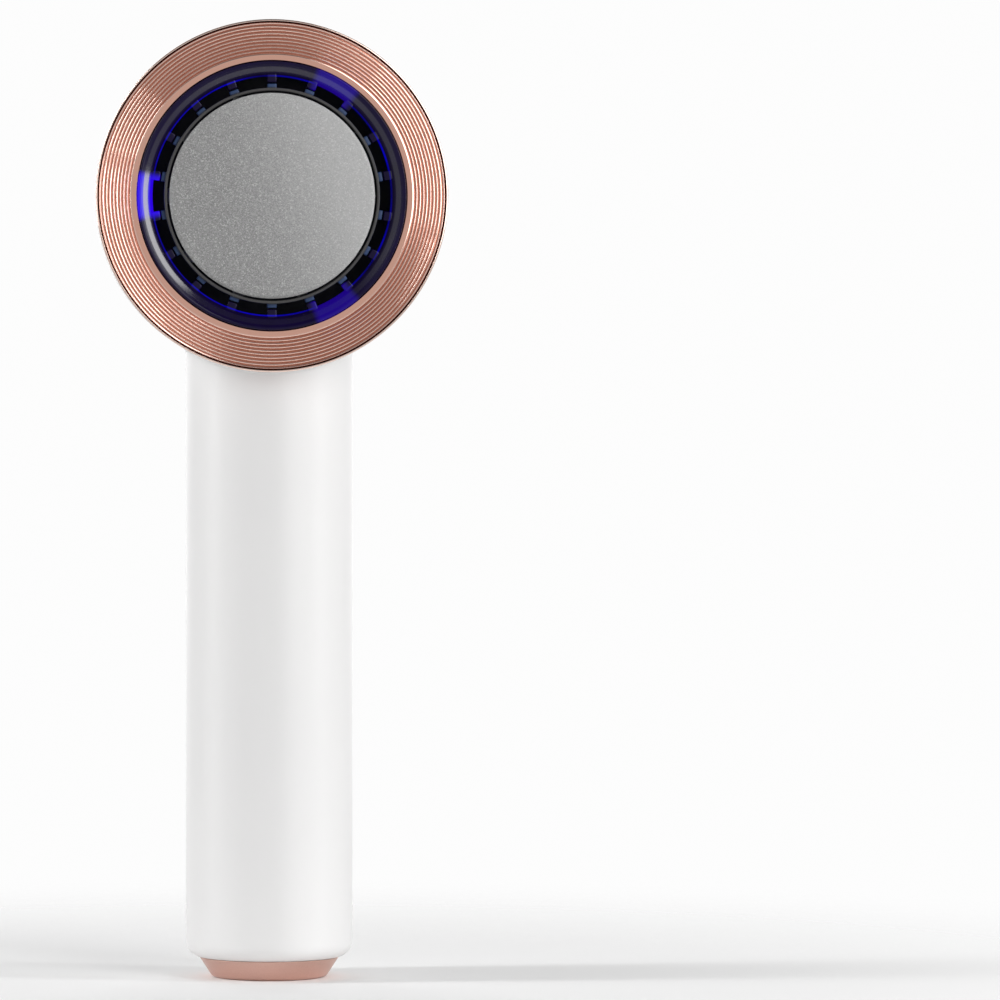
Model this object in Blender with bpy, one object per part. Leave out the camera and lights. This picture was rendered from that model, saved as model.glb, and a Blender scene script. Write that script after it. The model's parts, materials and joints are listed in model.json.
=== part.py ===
"""A cordless rotary skin smoother with a dust-suction head, as an assembly of separate pieces.

The foot stands on z = 0 and the handle runs up the Z axis to a drum-shaped head, whose own axis
runs along Y. The abrasive disc faces -Y and the power button faces +Y. Sizes are in millimetres.
A depth is counted from the front-most point of the head towards its rear.
"""

import math

import bmesh
import bpy
from mathutils import Matrix, Vector

MM = 0.001
MERGE = 0.000001

# ---- General fits ----
FIT = 0.3  # clearance between two pieces that seat on each other
RUNNING_GAP = 0.45  # clearance round a piece that turns

# ---- Handle ----
HANDLE_RADIUS = 17.2
HANDLE_WALL = 1.8
HEAD_HEIGHT = 161.0  # from the floor to the axis of the head
HANDLE_CORNER = 3.0  # rounding of the shell's lower rim

# ---- Foot ----
FOOT_HEIGHT = 3.9
FOOT_INSET = 2.8  # how far the top of the foot lies inside the handle
FOOT_TAPER = 2.7  # how much narrower the foot is on the floor
FOOT_EDGE = 0.5
FOOT_FLOOR = 2.0
FOOT_LIP = 0.9
FOOT_SKIRT_WALL = 1.1
FOOT_SKIRT_HEIGHT = 4.0

# ---- Charging inlet ----
SOCKET_WIDTH = 8.9
SOCKET_THICKNESS = 3.3
SOCKET_WALL = 0.35
SOCKET_LENGTH = 7.2
SOCKET_RECESS = 0.6
TONGUE_WIDTH = 6.4
TONGUE_THICKNESS = 0.8
CHARGE_BOARD_HEIGHT = 12.5
CHARGE_BOARD_MARGIN = 2.2

# ---- Battery ----
CELL_RADIUS = 9.2
CELL_LENGTH = 65.0
CELL_NUB_RADIUS = 3.0
CELL_NUB_HEIGHT = 1.0
CRADLE_WALL = 1.4
CRADLE_OVERHANG = 1.2
CRADLE_HALF_ANGLE = math.radians(110)
LEAD_RADIUS = 0.6
LEAD_SPREAD = 4.0

# ---- Head, outwards from the disc ----
DISC_RADIUS = 20.9
GUARD_WALL = 0.6
SLOT_DEPTH = 2.35  # radial length of a suction slot
BEAD_WIDTH = 3.0
TRIM_WIDTH = 8.3
TRIM_EDGE = 0.5
SHELL_WALL = 2.0
SKIRT_WALL = 1.7
SPOKE_COUNT = 18
SPOKE_WIDTH = 1.9
PAD_REACH = 0.85  # how far a guard pad reaches into a slot

# ---- Head, front to rear ----
FACE_RECESS = 0.1
PAD_THICKNESS = 1.0
BACKING_THICKNESS = 1.8
HUB_LENGTH = 8.4
HUB_RADIUS = 6.0
HEX_FLATS = 4.6
HEX_LENGTH = 7.6
HEX_CLEARANCE = 0.3
BEAD_PROUD = 1.2
TRIM_THICKNESS = 2.5
SKIRT_LENGTH = 5.5
SEAL_RADIUS = 0.5
SEAL_GROOVE_WIDTH = 1.6
SEAL_GROOVE_START = 1.9
COLLAR_FLANGE = 1.0
LED_THICKNESS = 0.8
LED_LENGTH = 2.6
LED_WIDTH = 1.6
LED_COUNT = 3
LED_BOARD = 0.8
CUP_DEPTH = 7.7
CUP_FLOOR = 1.2
CUP_WALL = 1.4
CUP_HOLE_COUNT = 10
CUP_HOLE_RADIUS = 2.2
TUNNEL_RADIUS = 8.0
TUNNEL_WALL = 1.2
TUNNEL_OVERREACH = 1.4
FILTER_THICKNESS = 1.2
FILTER_BORE = 3.0
SHROUD_THICKNESS = 1.0
SHROUD_EYE = 11.0
FAN_GAP = 0.4
FAN_DEPTH = 4.6
FAN_RADIUS = 24.0
FAN_HUB_RADIUS = 5.0
FAN_PLATE = 0.8
FAN_BLADE_COUNT = 9
FAN_BLADE_THICKNESS = 1.0
FAN_BLADE_LEAN = math.radians(28)
SCREW_SPACE = 0.8
SCREW_HEAD_RADIUS = 1.5
SCREW_HEAD_HEIGHT = 0.9
SCREW_SHANK_RADIUS = 0.8
MOTOR_SCREW_CIRCLE = 8.6
CHASSIS_SCREW_COUNT = 3
CHASSIS_SCREW_LENGTH = 4.6
PLATE_THICKNESS = 1.2
LEDGE_WIDTH = 3.7
LEDGE_DEPTH = 4.1
MOTOR_RADIUS = 14.0
MOTOR_LENGTH = 9.5
MOTOR_WALL = 1.0
END_CAP = 1.2
BEARING_RADIUS = 4.0
BEARING_LENGTH = 1.5
SHAFT_RADIUS = 1.5
ARMATURE_GAP = 0.6
REAR_LEDGE_WIDTH = 2.4
REAR_LEDGE_DEPTH = 1.5
BOARD_THICKNESS = 1.2
SWITCH_SIDE = 6.0
SWITCH_HEIGHT = 1.2
PLUNGER_RADIUS = 1.6
PLUNGER_HEIGHT = 0.2

# ---- Rear cover and button ----
BUTTON_TRAVEL = 0.6
BUTTON_RADIUS = 11.2
BUTTON_GAP = 0.35
BUTTON_FLANGE = 1.2
BUTTON_FLANGE_THICKNESS = 0.5
BUTTON_PROUD = 0.6
BUTTON_EDGE = 0.5
BUTTON_FACE = 1.5
STEM_RADIUS = 2.2
COVER_THICKNESS = 2.3
COVER_EDGE = 1.6
COVER_SKIRT_WALL = 1.2
COVER_SKIRT_LENGTH = 2.6
WASHER_RADIUS = 7.7
WASHER_WIDTH = 1.4
WASHER_THICKNESS = 0.3
WASHER_WAVE = 0.35
WASHER_WAVES = 3

# ---- Exhaust vents ----
VENT_COUNT = 7  # on each flank
VENT_STEP = math.radians(5.5)
VENT_WIDTH = 1.6
VENT_LENGTH = 5.4

# ---- Facets ----
FINE = 48
TUBE = 40
MEDIUM = 24
SMALL = 12
EDGE_STEPS = 2
HALF_FACET = math.pi / TUBE  # turns the tube's facets off those of the drum that it joins

# ---- Radii that follow ----
GUARD_INNER = DISC_RADIUS + RUNNING_GAP
GUARD_OUTER = GUARD_INNER + GUARD_WALL
BEAD_INNER = GUARD_OUTER + SLOT_DEPTH
BEAD_OUTER = BEAD_INNER + BEAD_WIDTH
TRIM_INNER = BEAD_OUTER + FIT
HEAD_RADIUS = TRIM_INNER + TRIM_WIDTH
DRUM_INNER = HEAD_RADIUS - SHELL_WALL
SEAT_RADIUS = DRUM_INNER - 0.4  # plates that drop into the drum
SKIRT_OUTER = DRUM_INNER - 0.6
SKIRT_INNER = SKIRT_OUTER - SKIRT_WALL
FLANGE_RADIUS = SKIRT_INNER - 0.4
CUP_OUTER = FLANGE_RADIUS
LED_BOARD_INNER = BEAD_INNER + FIT
LED_CIRCLE = (BEAD_INNER + BEAD_OUTER) / 2
CHASSIS_SCREW_CIRCLE = DRUM_INNER - 2.0
FOOT_TOP = HANDLE_RADIUS - FOOT_INSET
FOOT_BOTTOM = FOOT_TOP - FOOT_TAPER
SHELL_MOUTH = FOOT_TOP - FOOT_LIP + FIT
HANDLE_INNER = HANDLE_RADIUS - HANDLE_WALL

# ---- Depths that follow, from the front-most point ----
PAD_FRONT = FACE_RECESS
BACKING_FRONT = PAD_FRONT + PAD_THICKNESS + FIT
BACKING_REAR = BACKING_FRONT + BACKING_THICKNESS
HUB_REAR = BACKING_REAR + HUB_LENGTH
TRIM_FRONT = BEAD_PROUD
TRIM_REAR = TRIM_FRONT + TRIM_THICKNESS
DRUM_FRONT = TRIM_REAR + FIT
SKIRT_REAR = TRIM_REAR + SKIRT_LENGTH
COLLAR_REAR = TRIM_REAR + FIT + COLLAR_FLANGE
LED_FRONT = COLLAR_REAR + FIT
LED_BOARD_FRONT = LED_FRONT + LED_THICKNESS + FIT
CUP_FRONT = LED_BOARD_FRONT + LED_BOARD + FIT
CUP_REAR = CUP_FRONT + CUP_DEPTH
FILTER_FRONT = CUP_REAR + FIT
FILTER_REAR = FILTER_FRONT + FILTER_THICKNESS
SHROUD_FRONT = FILTER_REAR + FIT
SHROUD_REAR = SHROUD_FRONT + SHROUD_THICKNESS
FAN_FRONT = SHROUD_REAR + FAN_GAP
FAN_REAR = FAN_FRONT + FAN_DEPTH
PLATE_FRONT = FAN_REAR + SCREW_SPACE + SCREW_HEAD_HEIGHT + FIT
PLATE_REAR = PLATE_FRONT + PLATE_THICKNESS
LEDGE_FRONT = PLATE_REAR + FIT
MOTOR_FRONT = PLATE_REAR + FIT
MOTOR_REAR = MOTOR_FRONT + MOTOR_LENGTH
END_CAP_FRONT = MOTOR_REAR + FIT
END_CAP_REAR = END_CAP_FRONT + END_CAP
REAR_LEDGE_REAR = END_CAP_REAR
BOARD_FRONT = REAR_LEDGE_REAR + FIT
BOARD_REAR = BOARD_FRONT + BOARD_THICKNESS
SWITCH_FRONT = BOARD_REAR + FIT
SWITCH_REAR = SWITCH_FRONT + SWITCH_HEIGHT
PLUNGER_REAR = SWITCH_REAR + PLUNGER_HEIGHT
STEM_FRONT = PLUNGER_REAR + BUTTON_TRAVEL + FIT
FLANGE_REAR = STEM_FRONT + BUTTON_FLANGE_THICKNESS
COVER_FRONT = FLANGE_REAR + FIT
COVER_REAR = COVER_FRONT + COVER_THICKNESS
BUTTON_REAR = COVER_REAR + BUTTON_PROUD
DRUM_REAR = COVER_FRONT - FIT
HEAD_DEPTH = BUTTON_REAR
SHAFT_FRONT = HUB_REAR - HEX_LENGTH + 0.4
SHAFT_REAR = END_CAP_REAR - FIT

FRAMES = {}


def material(name, colour, roughness, metallic=0.0):
    """A plain Principled finish of one colour."""
    made = bpy.data.materials.new(name)
    made.use_nodes = True
    shader = made.node_tree.nodes["Principled BSDF"]
    shader.inputs["Base Color"].default_value = (*colour, 1.0)
    shader.inputs["Roughness"].default_value = roughness
    shader.inputs["Metallic"].default_value = metallic
    return made


def add_object(name, shape, frame, finish=None):
    """Closes a bmesh into an object that stands in one of the frames."""
    bmesh.ops.remove_doubles(shape, verts=shape.verts, dist=MERGE)
    bmesh.ops.recalc_face_normals(shape, faces=shape.faces)
    mesh = bpy.data.meshes.new(name)
    shape.to_mesh(mesh)
    shape.free()
    mesh.shade_smooth()
    mesh.set_sharp_from_angle(angle=math.radians(30))
    if finish:
        mesh.materials.append(finish)
    made = bpy.data.objects.new(name, mesh)
    bpy.context.collection.objects.link(made)
    made.parent = FRAMES[frame]
    return made


def turned(name, profile, frame, steps, finish=None, ring=True):
    """Spins a profile of (radius, height) points round Z: a closed ring, or a solid from axis to axis."""
    shape = bmesh.new()
    corners = [shape.verts.new((radius * MM, 0, height * MM)) for radius, height in profile]
    pairs = list(zip(corners, corners[1:]))
    if ring:
        pairs.append((corners[-1], corners[0]))
    edges = [shape.edges.new(pair) for pair in pairs]
    bmesh.ops.spin(
        shape,
        geom=corners + edges,
        cent=(0, 0, 0),
        axis=(0, 0, 1),
        angle=2 * math.pi,
        steps=steps,
        use_merge=True,
    )
    return add_object(name, shape, frame, finish)


def ring_of(name, inner, outer, front, rear, frame, steps, finish=None):
    """A plain flat ring or tube."""
    profile = [(inner, front), (outer, front), (outer, rear), (inner, rear)]
    return turned(name, profile, frame, steps, finish)


def disc_of(name, radius, front, rear, frame, steps, finish=None):
    """A plain solid cylinder."""
    profile = [(0, front), (radius, front), (radius, rear), (0, rear)]
    return turned(name, profile, frame, steps, finish, ring=False)


def add_box(shape, size, matrix):
    """Adds one box, given by its size in millimetres and its place, to a bmesh."""
    corners = bmesh.ops.create_cube(shape, size=1.0)["verts"]
    scale = Matrix.Diagonal((size[0] * MM, size[1] * MM, size[2] * MM, 1.0))
    bmesh.ops.transform(shape, matrix=matrix @ scale, verts=corners)


def place(x, y, z):
    return Matrix.Translation(Vector((x, y, z)) * MM)


def block(name, size, centre, frame, finish=None):
    shape = bmesh.new()
    add_box(shape, size, place(*centre))
    return add_object(name, shape, frame, finish)


def boxes_around(name, count, size, radius, depth, frame, start=0.0, lean=0.0):
    """Equal boxes round the Z axis: size is (radial, tangential, along the axis)."""
    shape = bmesh.new()
    for index in range(count):
        turn = Matrix.Rotation(start + index * 2 * math.pi / count, 4, "Z")
        twist = Matrix.Rotation(lean, 4, "Z")
        add_box(shape, size, turn @ place(radius, 0, depth) @ twist)
    return add_object(name, shape, frame)


def drills_around(name, count, drill, circle, front, rear, frame, start=0.0, sides=8):
    """Equal round cutters on a circle."""
    shape = bmesh.new()
    for index in range(count):
        angle = start + index * 2 * math.pi / count
        centre = place(circle * math.cos(angle), circle * math.sin(angle), (front + rear) / 2)
        bmesh.ops.create_cone(
            shape,
            cap_ends=True,
            segments=sides,
            radius1=drill * MM,
            radius2=drill * MM,
            depth=(rear - front) * MM,
            matrix=centre,
        )
    return add_object(name, shape, frame)


def combine(target, other, operation):
    """A live exact Boolean. The other shape is only a tool and stays out of the assembly."""
    other.hide_render = True
    other.display_type = "WIRE"
    made = target.modifiers.new(other.name, "BOOLEAN")
    made.operation = operation
    made.solver = "EXACT"
    made.object = other


def cut(target, other):
    combine(target, other, "DIFFERENCE")


def join(target, other):
    combine(target, other, "UNION")


def arc(centre, radius, start, end, steps=EDGE_STEPS):
    """Points of a rounded edge on a profile, from one angle to the other, in degrees."""
    angles = [math.radians(start + (end - start) * i / steps) for i in range(steps + 1)]
    return [(centre[0] + radius * math.cos(a), centre[1] + radius * math.sin(a)) for a in angles]


def clear_scene():
    for item in list(bpy.data.objects):
        bpy.data.objects.remove(item, do_unlink=True)


def build_frames():
    """Empties that carry the fixed and the moving pieces. Head frames have Z towards the rear."""
    head_place = (0, -HEAD_DEPTH / 2 * MM, HEAD_HEIGHT * MM)
    for name, parent in (("handle", None), ("head", None), ("rotor", "head"), ("disc", "rotor"),
                         ("collar", "head"), ("button", "head")):
        empty = bpy.data.objects.new(f"frame_{name}", None)
        bpy.context.collection.objects.link(empty)
        if name == "head":
            empty.location = head_place
            empty.rotation_euler = (-math.pi / 2, 0, 0)
        if parent:
            empty.parent = FRAMES[parent]
        FRAMES[name] = empty


def build_shell(white):
    """The one-piece housing: a drum open at both ends on a tube open at its foot."""
    shell = disc_of("body_shell", HEAD_RADIUS, DRUM_FRONT, DRUM_REAR, "head", FINE, white)
    rim = HANDLE_RADIUS - HANDLE_CORNER
    foot = FOOT_HEIGHT + FIT
    tube_top = HEAD_HEIGHT - 10
    outside = [(0, foot)]
    outside += arc((rim, foot + HANDLE_CORNER), HANDLE_CORNER, -90, 0, 3)
    outside += [(HANDLE_RADIUS, tube_top), (0, tube_top)]
    tube = turned("tool_handle_tube", outside, "handle", TUBE, ring=False)
    tube.rotation_euler.z = HALF_FACET
    join(shell, tube)
    ledge = DRUM_INNER - LEDGE_WIDTH
    rear_ledge = DRUM_INNER - REAR_LEDGE_WIDTH
    rear_ledge_front = REAR_LEDGE_REAR - REAR_LEDGE_DEPTH
    hollow = [
        (0, DRUM_FRONT - 1), (DRUM_INNER, DRUM_FRONT - 1), (DRUM_INNER, LEDGE_FRONT),
        (ledge, LEDGE_FRONT), (ledge, LEDGE_FRONT + LEDGE_DEPTH),
        (DRUM_INNER, LEDGE_FRONT + LEDGE_DEPTH), (DRUM_INNER, rear_ledge_front),
        (rear_ledge, rear_ledge_front), (rear_ledge, REAR_LEDGE_REAR),
        (DRUM_INNER, REAR_LEDGE_REAR), (DRUM_INNER, DRUM_REAR + 1), (0, DRUM_REAR + 1),
    ]
    inside = turned("tool_drum_hollow", hollow, "head", FINE, ring=False)
    step = HANDLE_INNER - SHELL_MOUTH
    bore_top = HEAD_HEIGHT - 12
    bore = [
        (0, foot - 1), (SHELL_MOUTH, foot - 1), (SHELL_MOUTH, foot + HANDLE_WALL),
        (HANDLE_INNER, foot + HANDLE_WALL + step), (HANDLE_INNER, bore_top), (0, bore_top),
    ]
    bore_tool = turned("tool_handle_bore", bore, "handle", TUBE, ring=False)
    bore_tool.rotation_euler.z = HALF_FACET
    join(inside, bore_tool)
    cut(shell, inside)
    cut(shell, drills_around(
        "tool_chassis_holes", CHASSIS_SCREW_COUNT, SCREW_SHANK_RADIUS + FIT, CHASSIS_SCREW_CIRCLE,
        LEDGE_FRONT - 1, LEDGE_FRONT + LEDGE_DEPTH - 0.5, "head", -math.pi / 2))
    vents = bmesh.new()
    vent_depth = (FAN_FRONT + FAN_REAR) / 2
    for flank in (0.0, math.pi):
        for index in range(VENT_COUNT):
            angle = flank + (index - (VENT_COUNT - 1) / 2) * VENT_STEP
            turn = Matrix.Rotation(angle, 4, "Z")
            size = (SHELL_WALL * 3, VENT_WIDTH, VENT_LENGTH)
            add_box(vents, size, turn @ place(HEAD_RADIUS - SHELL_WALL / 2, 0, vent_depth))
    cut(shell, add_object("tool_vents", vents, "head"))


def build_foot(rose, steel, black, board):
    """The foot cap with the charging inlet in its floor."""
    lip = FOOT_TOP - FOOT_LIP
    inside = lip - FOOT_SKIRT_WALL
    top = FOOT_HEIGHT + FOOT_SKIRT_HEIGHT
    profile = [
        (0, 0), (FOOT_BOTTOM - FOOT_EDGE, 0), (FOOT_BOTTOM, FOOT_EDGE), (FOOT_TOP, FOOT_HEIGHT),
        (lip, FOOT_HEIGHT), (lip, top), (inside, top), (inside, FOOT_FLOOR), (0, FOOT_FLOOR),
    ]
    foot = turned("foot_cap", profile, "handle", TUBE, rose, ring=False)
    hole = (SOCKET_WIDTH + 2 * FIT, SOCKET_THICKNESS + 2 * FIT, FOOT_FLOOR * 3)
    cut(foot, block("tool_inlet", hole, (0, 0, FOOT_FLOOR / 2), "handle"))
    middle = SOCKET_RECESS + SOCKET_LENGTH / 2
    outer = (SOCKET_WIDTH, SOCKET_THICKNESS, SOCKET_LENGTH)
    socket = block("charge_socket", outer, (0, 0, middle), "handle", steel)
    inner = (SOCKET_WIDTH - 2 * SOCKET_WALL, SOCKET_THICKNESS - 2 * SOCKET_WALL, SOCKET_LENGTH)
    cut(socket, block("tool_socket_bore", inner, (0, 0, middle - 1), "handle"))
    tongue = (TONGUE_WIDTH, TONGUE_THICKNESS, SOCKET_LENGTH - 2.0)
    block("socket_tongue", tongue, (0, 0, middle - 0.4), "handle", black)
    board_start = SOCKET_RECESS + SOCKET_LENGTH + FIT
    width = 2 * (inside - CHARGE_BOARD_MARGIN)
    size = (width, BOARD_THICKNESS, CHARGE_BOARD_HEIGHT)
    block("charge_board", size, (0, 0, board_start + CHARGE_BOARD_HEIGHT / 2), "handle", board)
    return board_start + CHARGE_BOARD_HEIGHT


def build_battery(start, wrap, black, red, dark):
    """The cell in its half-round cradle, and the two leads up to the control board."""
    floor = start + CRADLE_OVERHANG + FIT
    top = floor + CELL_LENGTH
    nub = top + CELL_NUB_HEIGHT
    profile = [
        (0, floor), (CELL_RADIUS, floor), (CELL_RADIUS, top), (CELL_NUB_RADIUS, top),
        (CELL_NUB_RADIUS, nub), (0, nub),
    ]
    turned("battery_cell", profile, "handle", MEDIUM, wrap, ring=False)
    inner = CELL_RADIUS + FIT
    outer = inner + CRADLE_WALL
    shape = bmesh.new()
    steps = 24
    angles = [math.pi / 2 - CRADLE_HALF_ANGLE + 2 * CRADLE_HALF_ANGLE * i / steps for i in range(steps + 1)]
    outline = [(inner * math.cos(a), inner * math.sin(a)) for a in angles]
    outline += [(outer * math.cos(a), outer * math.sin(a)) for a in reversed(angles)]
    low = floor - CRADLE_OVERHANG
    bottom = [shape.verts.new((x * MM, y * MM, low * MM)) for x, y in outline]
    face = shape.faces.new(bottom)
    grown = bmesh.ops.extrude_face_region(shape, geom=[face])["geom"]
    raised = [item for item in grown if isinstance(item, bmesh.types.BMVert)]
    height = (CELL_LENGTH + 2 * CRADLE_OVERHANG) * MM
    bmesh.ops.translate(shape, verts=raised, vec=(0, 0, height))
    add_object("battery_cradle", shape, "handle", black)
    board_y = BOARD_FRONT - HEAD_DEPTH / 2 - FIT - LEAD_RADIUS
    for name, side, finish in (("positive_lead", 1, red), ("negative_lead", -1, dark)):
        add_lead(name, side * LEAD_SPREAD, nub + FIT + LEAD_RADIUS, board_y, finish)


def add_lead(name, x, low, board_y, finish):
    """A lead from above the cell to the front of the control board, clear of the ledges."""
    wall = HEAD_HEIGHT - DRUM_INNER
    route = [
        Vector((x, 0, low)),
        Vector((x, board_y * 0.15, low + (wall - low) * 0.4)),
        Vector((x, board_y * 0.60, low + (wall - low) * 0.8)),
        Vector((x, board_y * 0.72, wall + 4)),
        Vector((x, board_y, wall + 13)),
    ]
    curve = bpy.data.curves.new(name, "CURVE")
    curve.dimensions = "3D"
    curve.bevel_depth = LEAD_RADIUS * MM
    curve.bevel_resolution = 2
    curve.use_fill_caps = True
    points = smooth_route(route)
    spline = curve.splines.new("POLY")
    spline.points.add(len(points) - 1)
    for point, spot in zip(spline.points, points):
        point.co = (*(spot * MM), 1)
    curve.materials.append(finish)
    made = bpy.data.objects.new(name, curve)
    bpy.context.collection.objects.link(made)
    made.parent = FRAMES["handle"]


def smooth_route(route, steps=5):
    """Points of a smooth curve through the route's own points."""
    ends = [2 * route[0] - route[1]] + route + [2 * route[-1] - route[-2]]
    points = []
    for a, b, c, d in zip(ends, ends[1:], ends[2:], ends[3:]):
        for index in range(steps):
            t = index / steps
            bend = 2 * a - 5 * b + 4 * c - d
            twist = -a + 3 * b - 3 * c + d
            points.append((2 * b + (c - a) * t + bend * t * t + twist * t ** 3) / 2)
    return points + [route[-1]]


def build_collar(rose, blue, grey, rubber):
    """The pull-off collar: grooved trim, clear suction ring, guard ring and seal."""
    groove = SKIRT_OUTER - 0.8
    groove_front = TRIM_REAR + SEAL_GROOVE_START
    trim = [(TRIM_INNER, TRIM_FRONT)]
    trim += arc((HEAD_RADIUS - TRIM_EDGE, TRIM_FRONT + TRIM_EDGE), TRIM_EDGE, -90, 0)
    trim += [
        (HEAD_RADIUS, TRIM_REAR), (SKIRT_OUTER, TRIM_REAR), (SKIRT_OUTER, groove_front),
        (groove, groove_front), (groove, groove_front + SEAL_GROOVE_WIDTH),
        (SKIRT_OUTER, groove_front + SEAL_GROOVE_WIDTH), (SKIRT_OUTER, SKIRT_REAR),
        (SKIRT_INNER, SKIRT_REAR), (SKIRT_INNER, TRIM_REAR), (TRIM_INNER, TRIM_REAR),
    ]
    turned("trim_ring", trim, "collar", FINE, rose)
    seal_centre = (groove + SEAL_RADIUS + 0.15, groove_front + SEAL_GROOVE_WIDTH / 2)
    section = arc(seal_centre, SEAL_RADIUS, 0, 300, 5)
    turned("collar_seal", section, "collar", FINE, rubber)
    flange_front = TRIM_REAR + FIT
    half = BEAD_WIDTH / 2
    bead = [(BEAD_INNER, COLLAR_REAR), (BEAD_INNER, half)]
    bead += arc((BEAD_INNER + half, half), half, 180, 360, 4)[1:-1]
    bead += [
        (BEAD_OUTER, half), (BEAD_OUTER, flange_front), (FLANGE_RADIUS, flange_front),
        (FLANGE_RADIUS, COLLAR_REAR),
    ]
    ring = turned("suction_ring", bead, "collar", FINE, blue)
    spoke_front = half + 0.3
    spoke_rear = COLLAR_REAR - 0.3
    middle = (spoke_front + spoke_rear) / 2
    pad_end = GUARD_OUTER + PAD_REACH
    reach = BEAD_INNER + 0.7 - (pad_end + FIT)
    spoke = (reach, SPOKE_WIDTH, spoke_rear - spoke_front)
    join(ring, boxes_around(
        "tool_spokes", SPOKE_COUNT, spoke, BEAD_INNER + 0.7 - reach / 2, middle, "collar",
        math.pi / 2))
    guard = ring_of("guard_ring", GUARD_INNER, GUARD_OUTER, 0.7, COLLAR_REAR, "collar", FINE, grey)
    pad = (PAD_REACH + 0.35, SPOKE_WIDTH, spoke_rear - spoke_front)
    join(guard, boxes_around(
        "tool_guard_pads", SPOKE_COUNT, pad, pad_end - pad[0] / 2, middle, "collar", math.pi / 2))


def build_disc(grit, backing):
    """The abrasive disc: a faced pad on a backing with a hexagonal hub."""
    disc_of("abrasive_pad", DISC_RADIUS, PAD_FRONT, PAD_FRONT + PAD_THICKNESS, "disc", FINE, grit)
    profile = [
        (0, BACKING_FRONT), (DISC_RADIUS, BACKING_FRONT), (DISC_RADIUS, BACKING_REAR),
        (HUB_RADIUS, BACKING_REAR), (HUB_RADIUS, HUB_REAR), (0, HUB_REAR),
    ]
    hub = turned("disc_backing", profile, "disc", FINE, backing, ring=False)
    corner = (HEX_FLATS / 2 + HEX_CLEARANCE) / math.cos(math.pi / 6)
    bore_front = SHAFT_FRONT - FIT
    cut(hub, drills_around("tool_hex_bore", 1, corner, 0, bore_front, HUB_REAR + 1, "disc", sides=6))


def build_rotor(steel, copper, black):
    """Everything the motor turns: shaft, armature and suction fan."""
    shaft = disc_of("motor_shaft", SHAFT_RADIUS, HUB_REAR - 1, SHAFT_REAR, "rotor", SMALL, steel)
    corner = HEX_FLATS / 2 / math.cos(math.pi / 6)
    join(shaft, drills_around(
        "tool_hex_tip", 1, corner, 0, SHAFT_FRONT, HUB_REAR + 0.4, "rotor", sides=6))
    front = MOTOR_FRONT + BEARING_LENGTH + ARMATURE_GAP
    rear = END_CAP_REAR - BEARING_LENGTH - ARMATURE_GAP
    radius = MOTOR_RADIUS - MOTOR_WALL - ARMATURE_GAP
    ring_of("armature", SHAFT_RADIUS + FIT, radius, front, rear, "rotor", MEDIUM, copper)
    plate_front = FAN_REAR - FAN_PLATE
    bore = SHAFT_RADIUS + FIT
    profile = [
        (bore, FAN_FRONT), (FAN_HUB_RADIUS, FAN_FRONT), (FAN_HUB_RADIUS, plate_front),
        (FAN_RADIUS, plate_front), (FAN_RADIUS, FAN_REAR), (bore, FAN_REAR),
    ]
    fan = turned("fan_impeller", profile, "rotor", MEDIUM, black)
    length = FAN_RADIUS - FAN_HUB_RADIUS - 1.5
    height = plate_front - FAN_FRONT
    blade = (length, FAN_BLADE_THICKNESS, height - 0.2)
    join(fan, boxes_around(
        "tool_fan_blades", FAN_BLADE_COUNT, blade, FAN_HUB_RADIUS - 0.8 + length / 2,
        FAN_FRONT + 0.4 + height / 2, "rotor", lean=FAN_BLADE_LEAN))


def build_air_path(clear, felt, black, board, glow):
    """Dust cup, filter and fan shroud, with the ring board and the lamps behind the clear ring."""
    base_front = CUP_REAR - CUP_FLOOR
    wall = CUP_OUTER - CUP_WALL
    tunnel_outer = TUNNEL_RADIUS + TUNNEL_WALL
    cup_profile = [
        (TUNNEL_RADIUS, CUP_FRONT - TUNNEL_OVERREACH), (tunnel_outer, CUP_FRONT - TUNNEL_OVERREACH),
        (tunnel_outer, base_front), (wall, base_front), (wall, CUP_FRONT), (CUP_OUTER, CUP_FRONT),
        (CUP_OUTER, base_front), (SEAT_RADIUS, base_front), (SEAT_RADIUS, CUP_REAR),
        (TUNNEL_RADIUS, CUP_REAR),
    ]
    cup = turned("dust_cup", cup_profile, "head", FINE, clear)
    cut(cup, drills_around(
        "tool_cup_holes", CUP_HOLE_COUNT, CUP_HOLE_RADIUS, (wall + tunnel_outer) / 2,
        base_front - 1, CUP_REAR + 1, "head"))
    ring_of("dust_filter", FILTER_BORE, SEAT_RADIUS, FILTER_FRONT, FILTER_REAR, "head", FINE, felt)
    ring_of("fan_shroud", SHROUD_EYE, SEAT_RADIUS, SHROUD_FRONT, SHROUD_REAR, "head", FINE, black)
    ring_of("led_board", LED_BOARD_INNER, FLANGE_RADIUS, LED_BOARD_FRONT,
            LED_BOARD_FRONT + LED_BOARD, "head", FINE, board)
    for index in range(LED_COUNT):
        angle = math.pi + index * 2 * math.pi / LED_COUNT
        shape = bmesh.new()
        size = (LED_WIDTH, LED_LENGTH, LED_THICKNESS)
        turn = Matrix.Rotation(angle, 4, "Z")
        add_box(shape, size, turn @ place(LED_CIRCLE, 0, LED_FRONT + LED_THICKNESS / 2))
        add_object(f"led_{index + 1}", shape, "head", glow)


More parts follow.
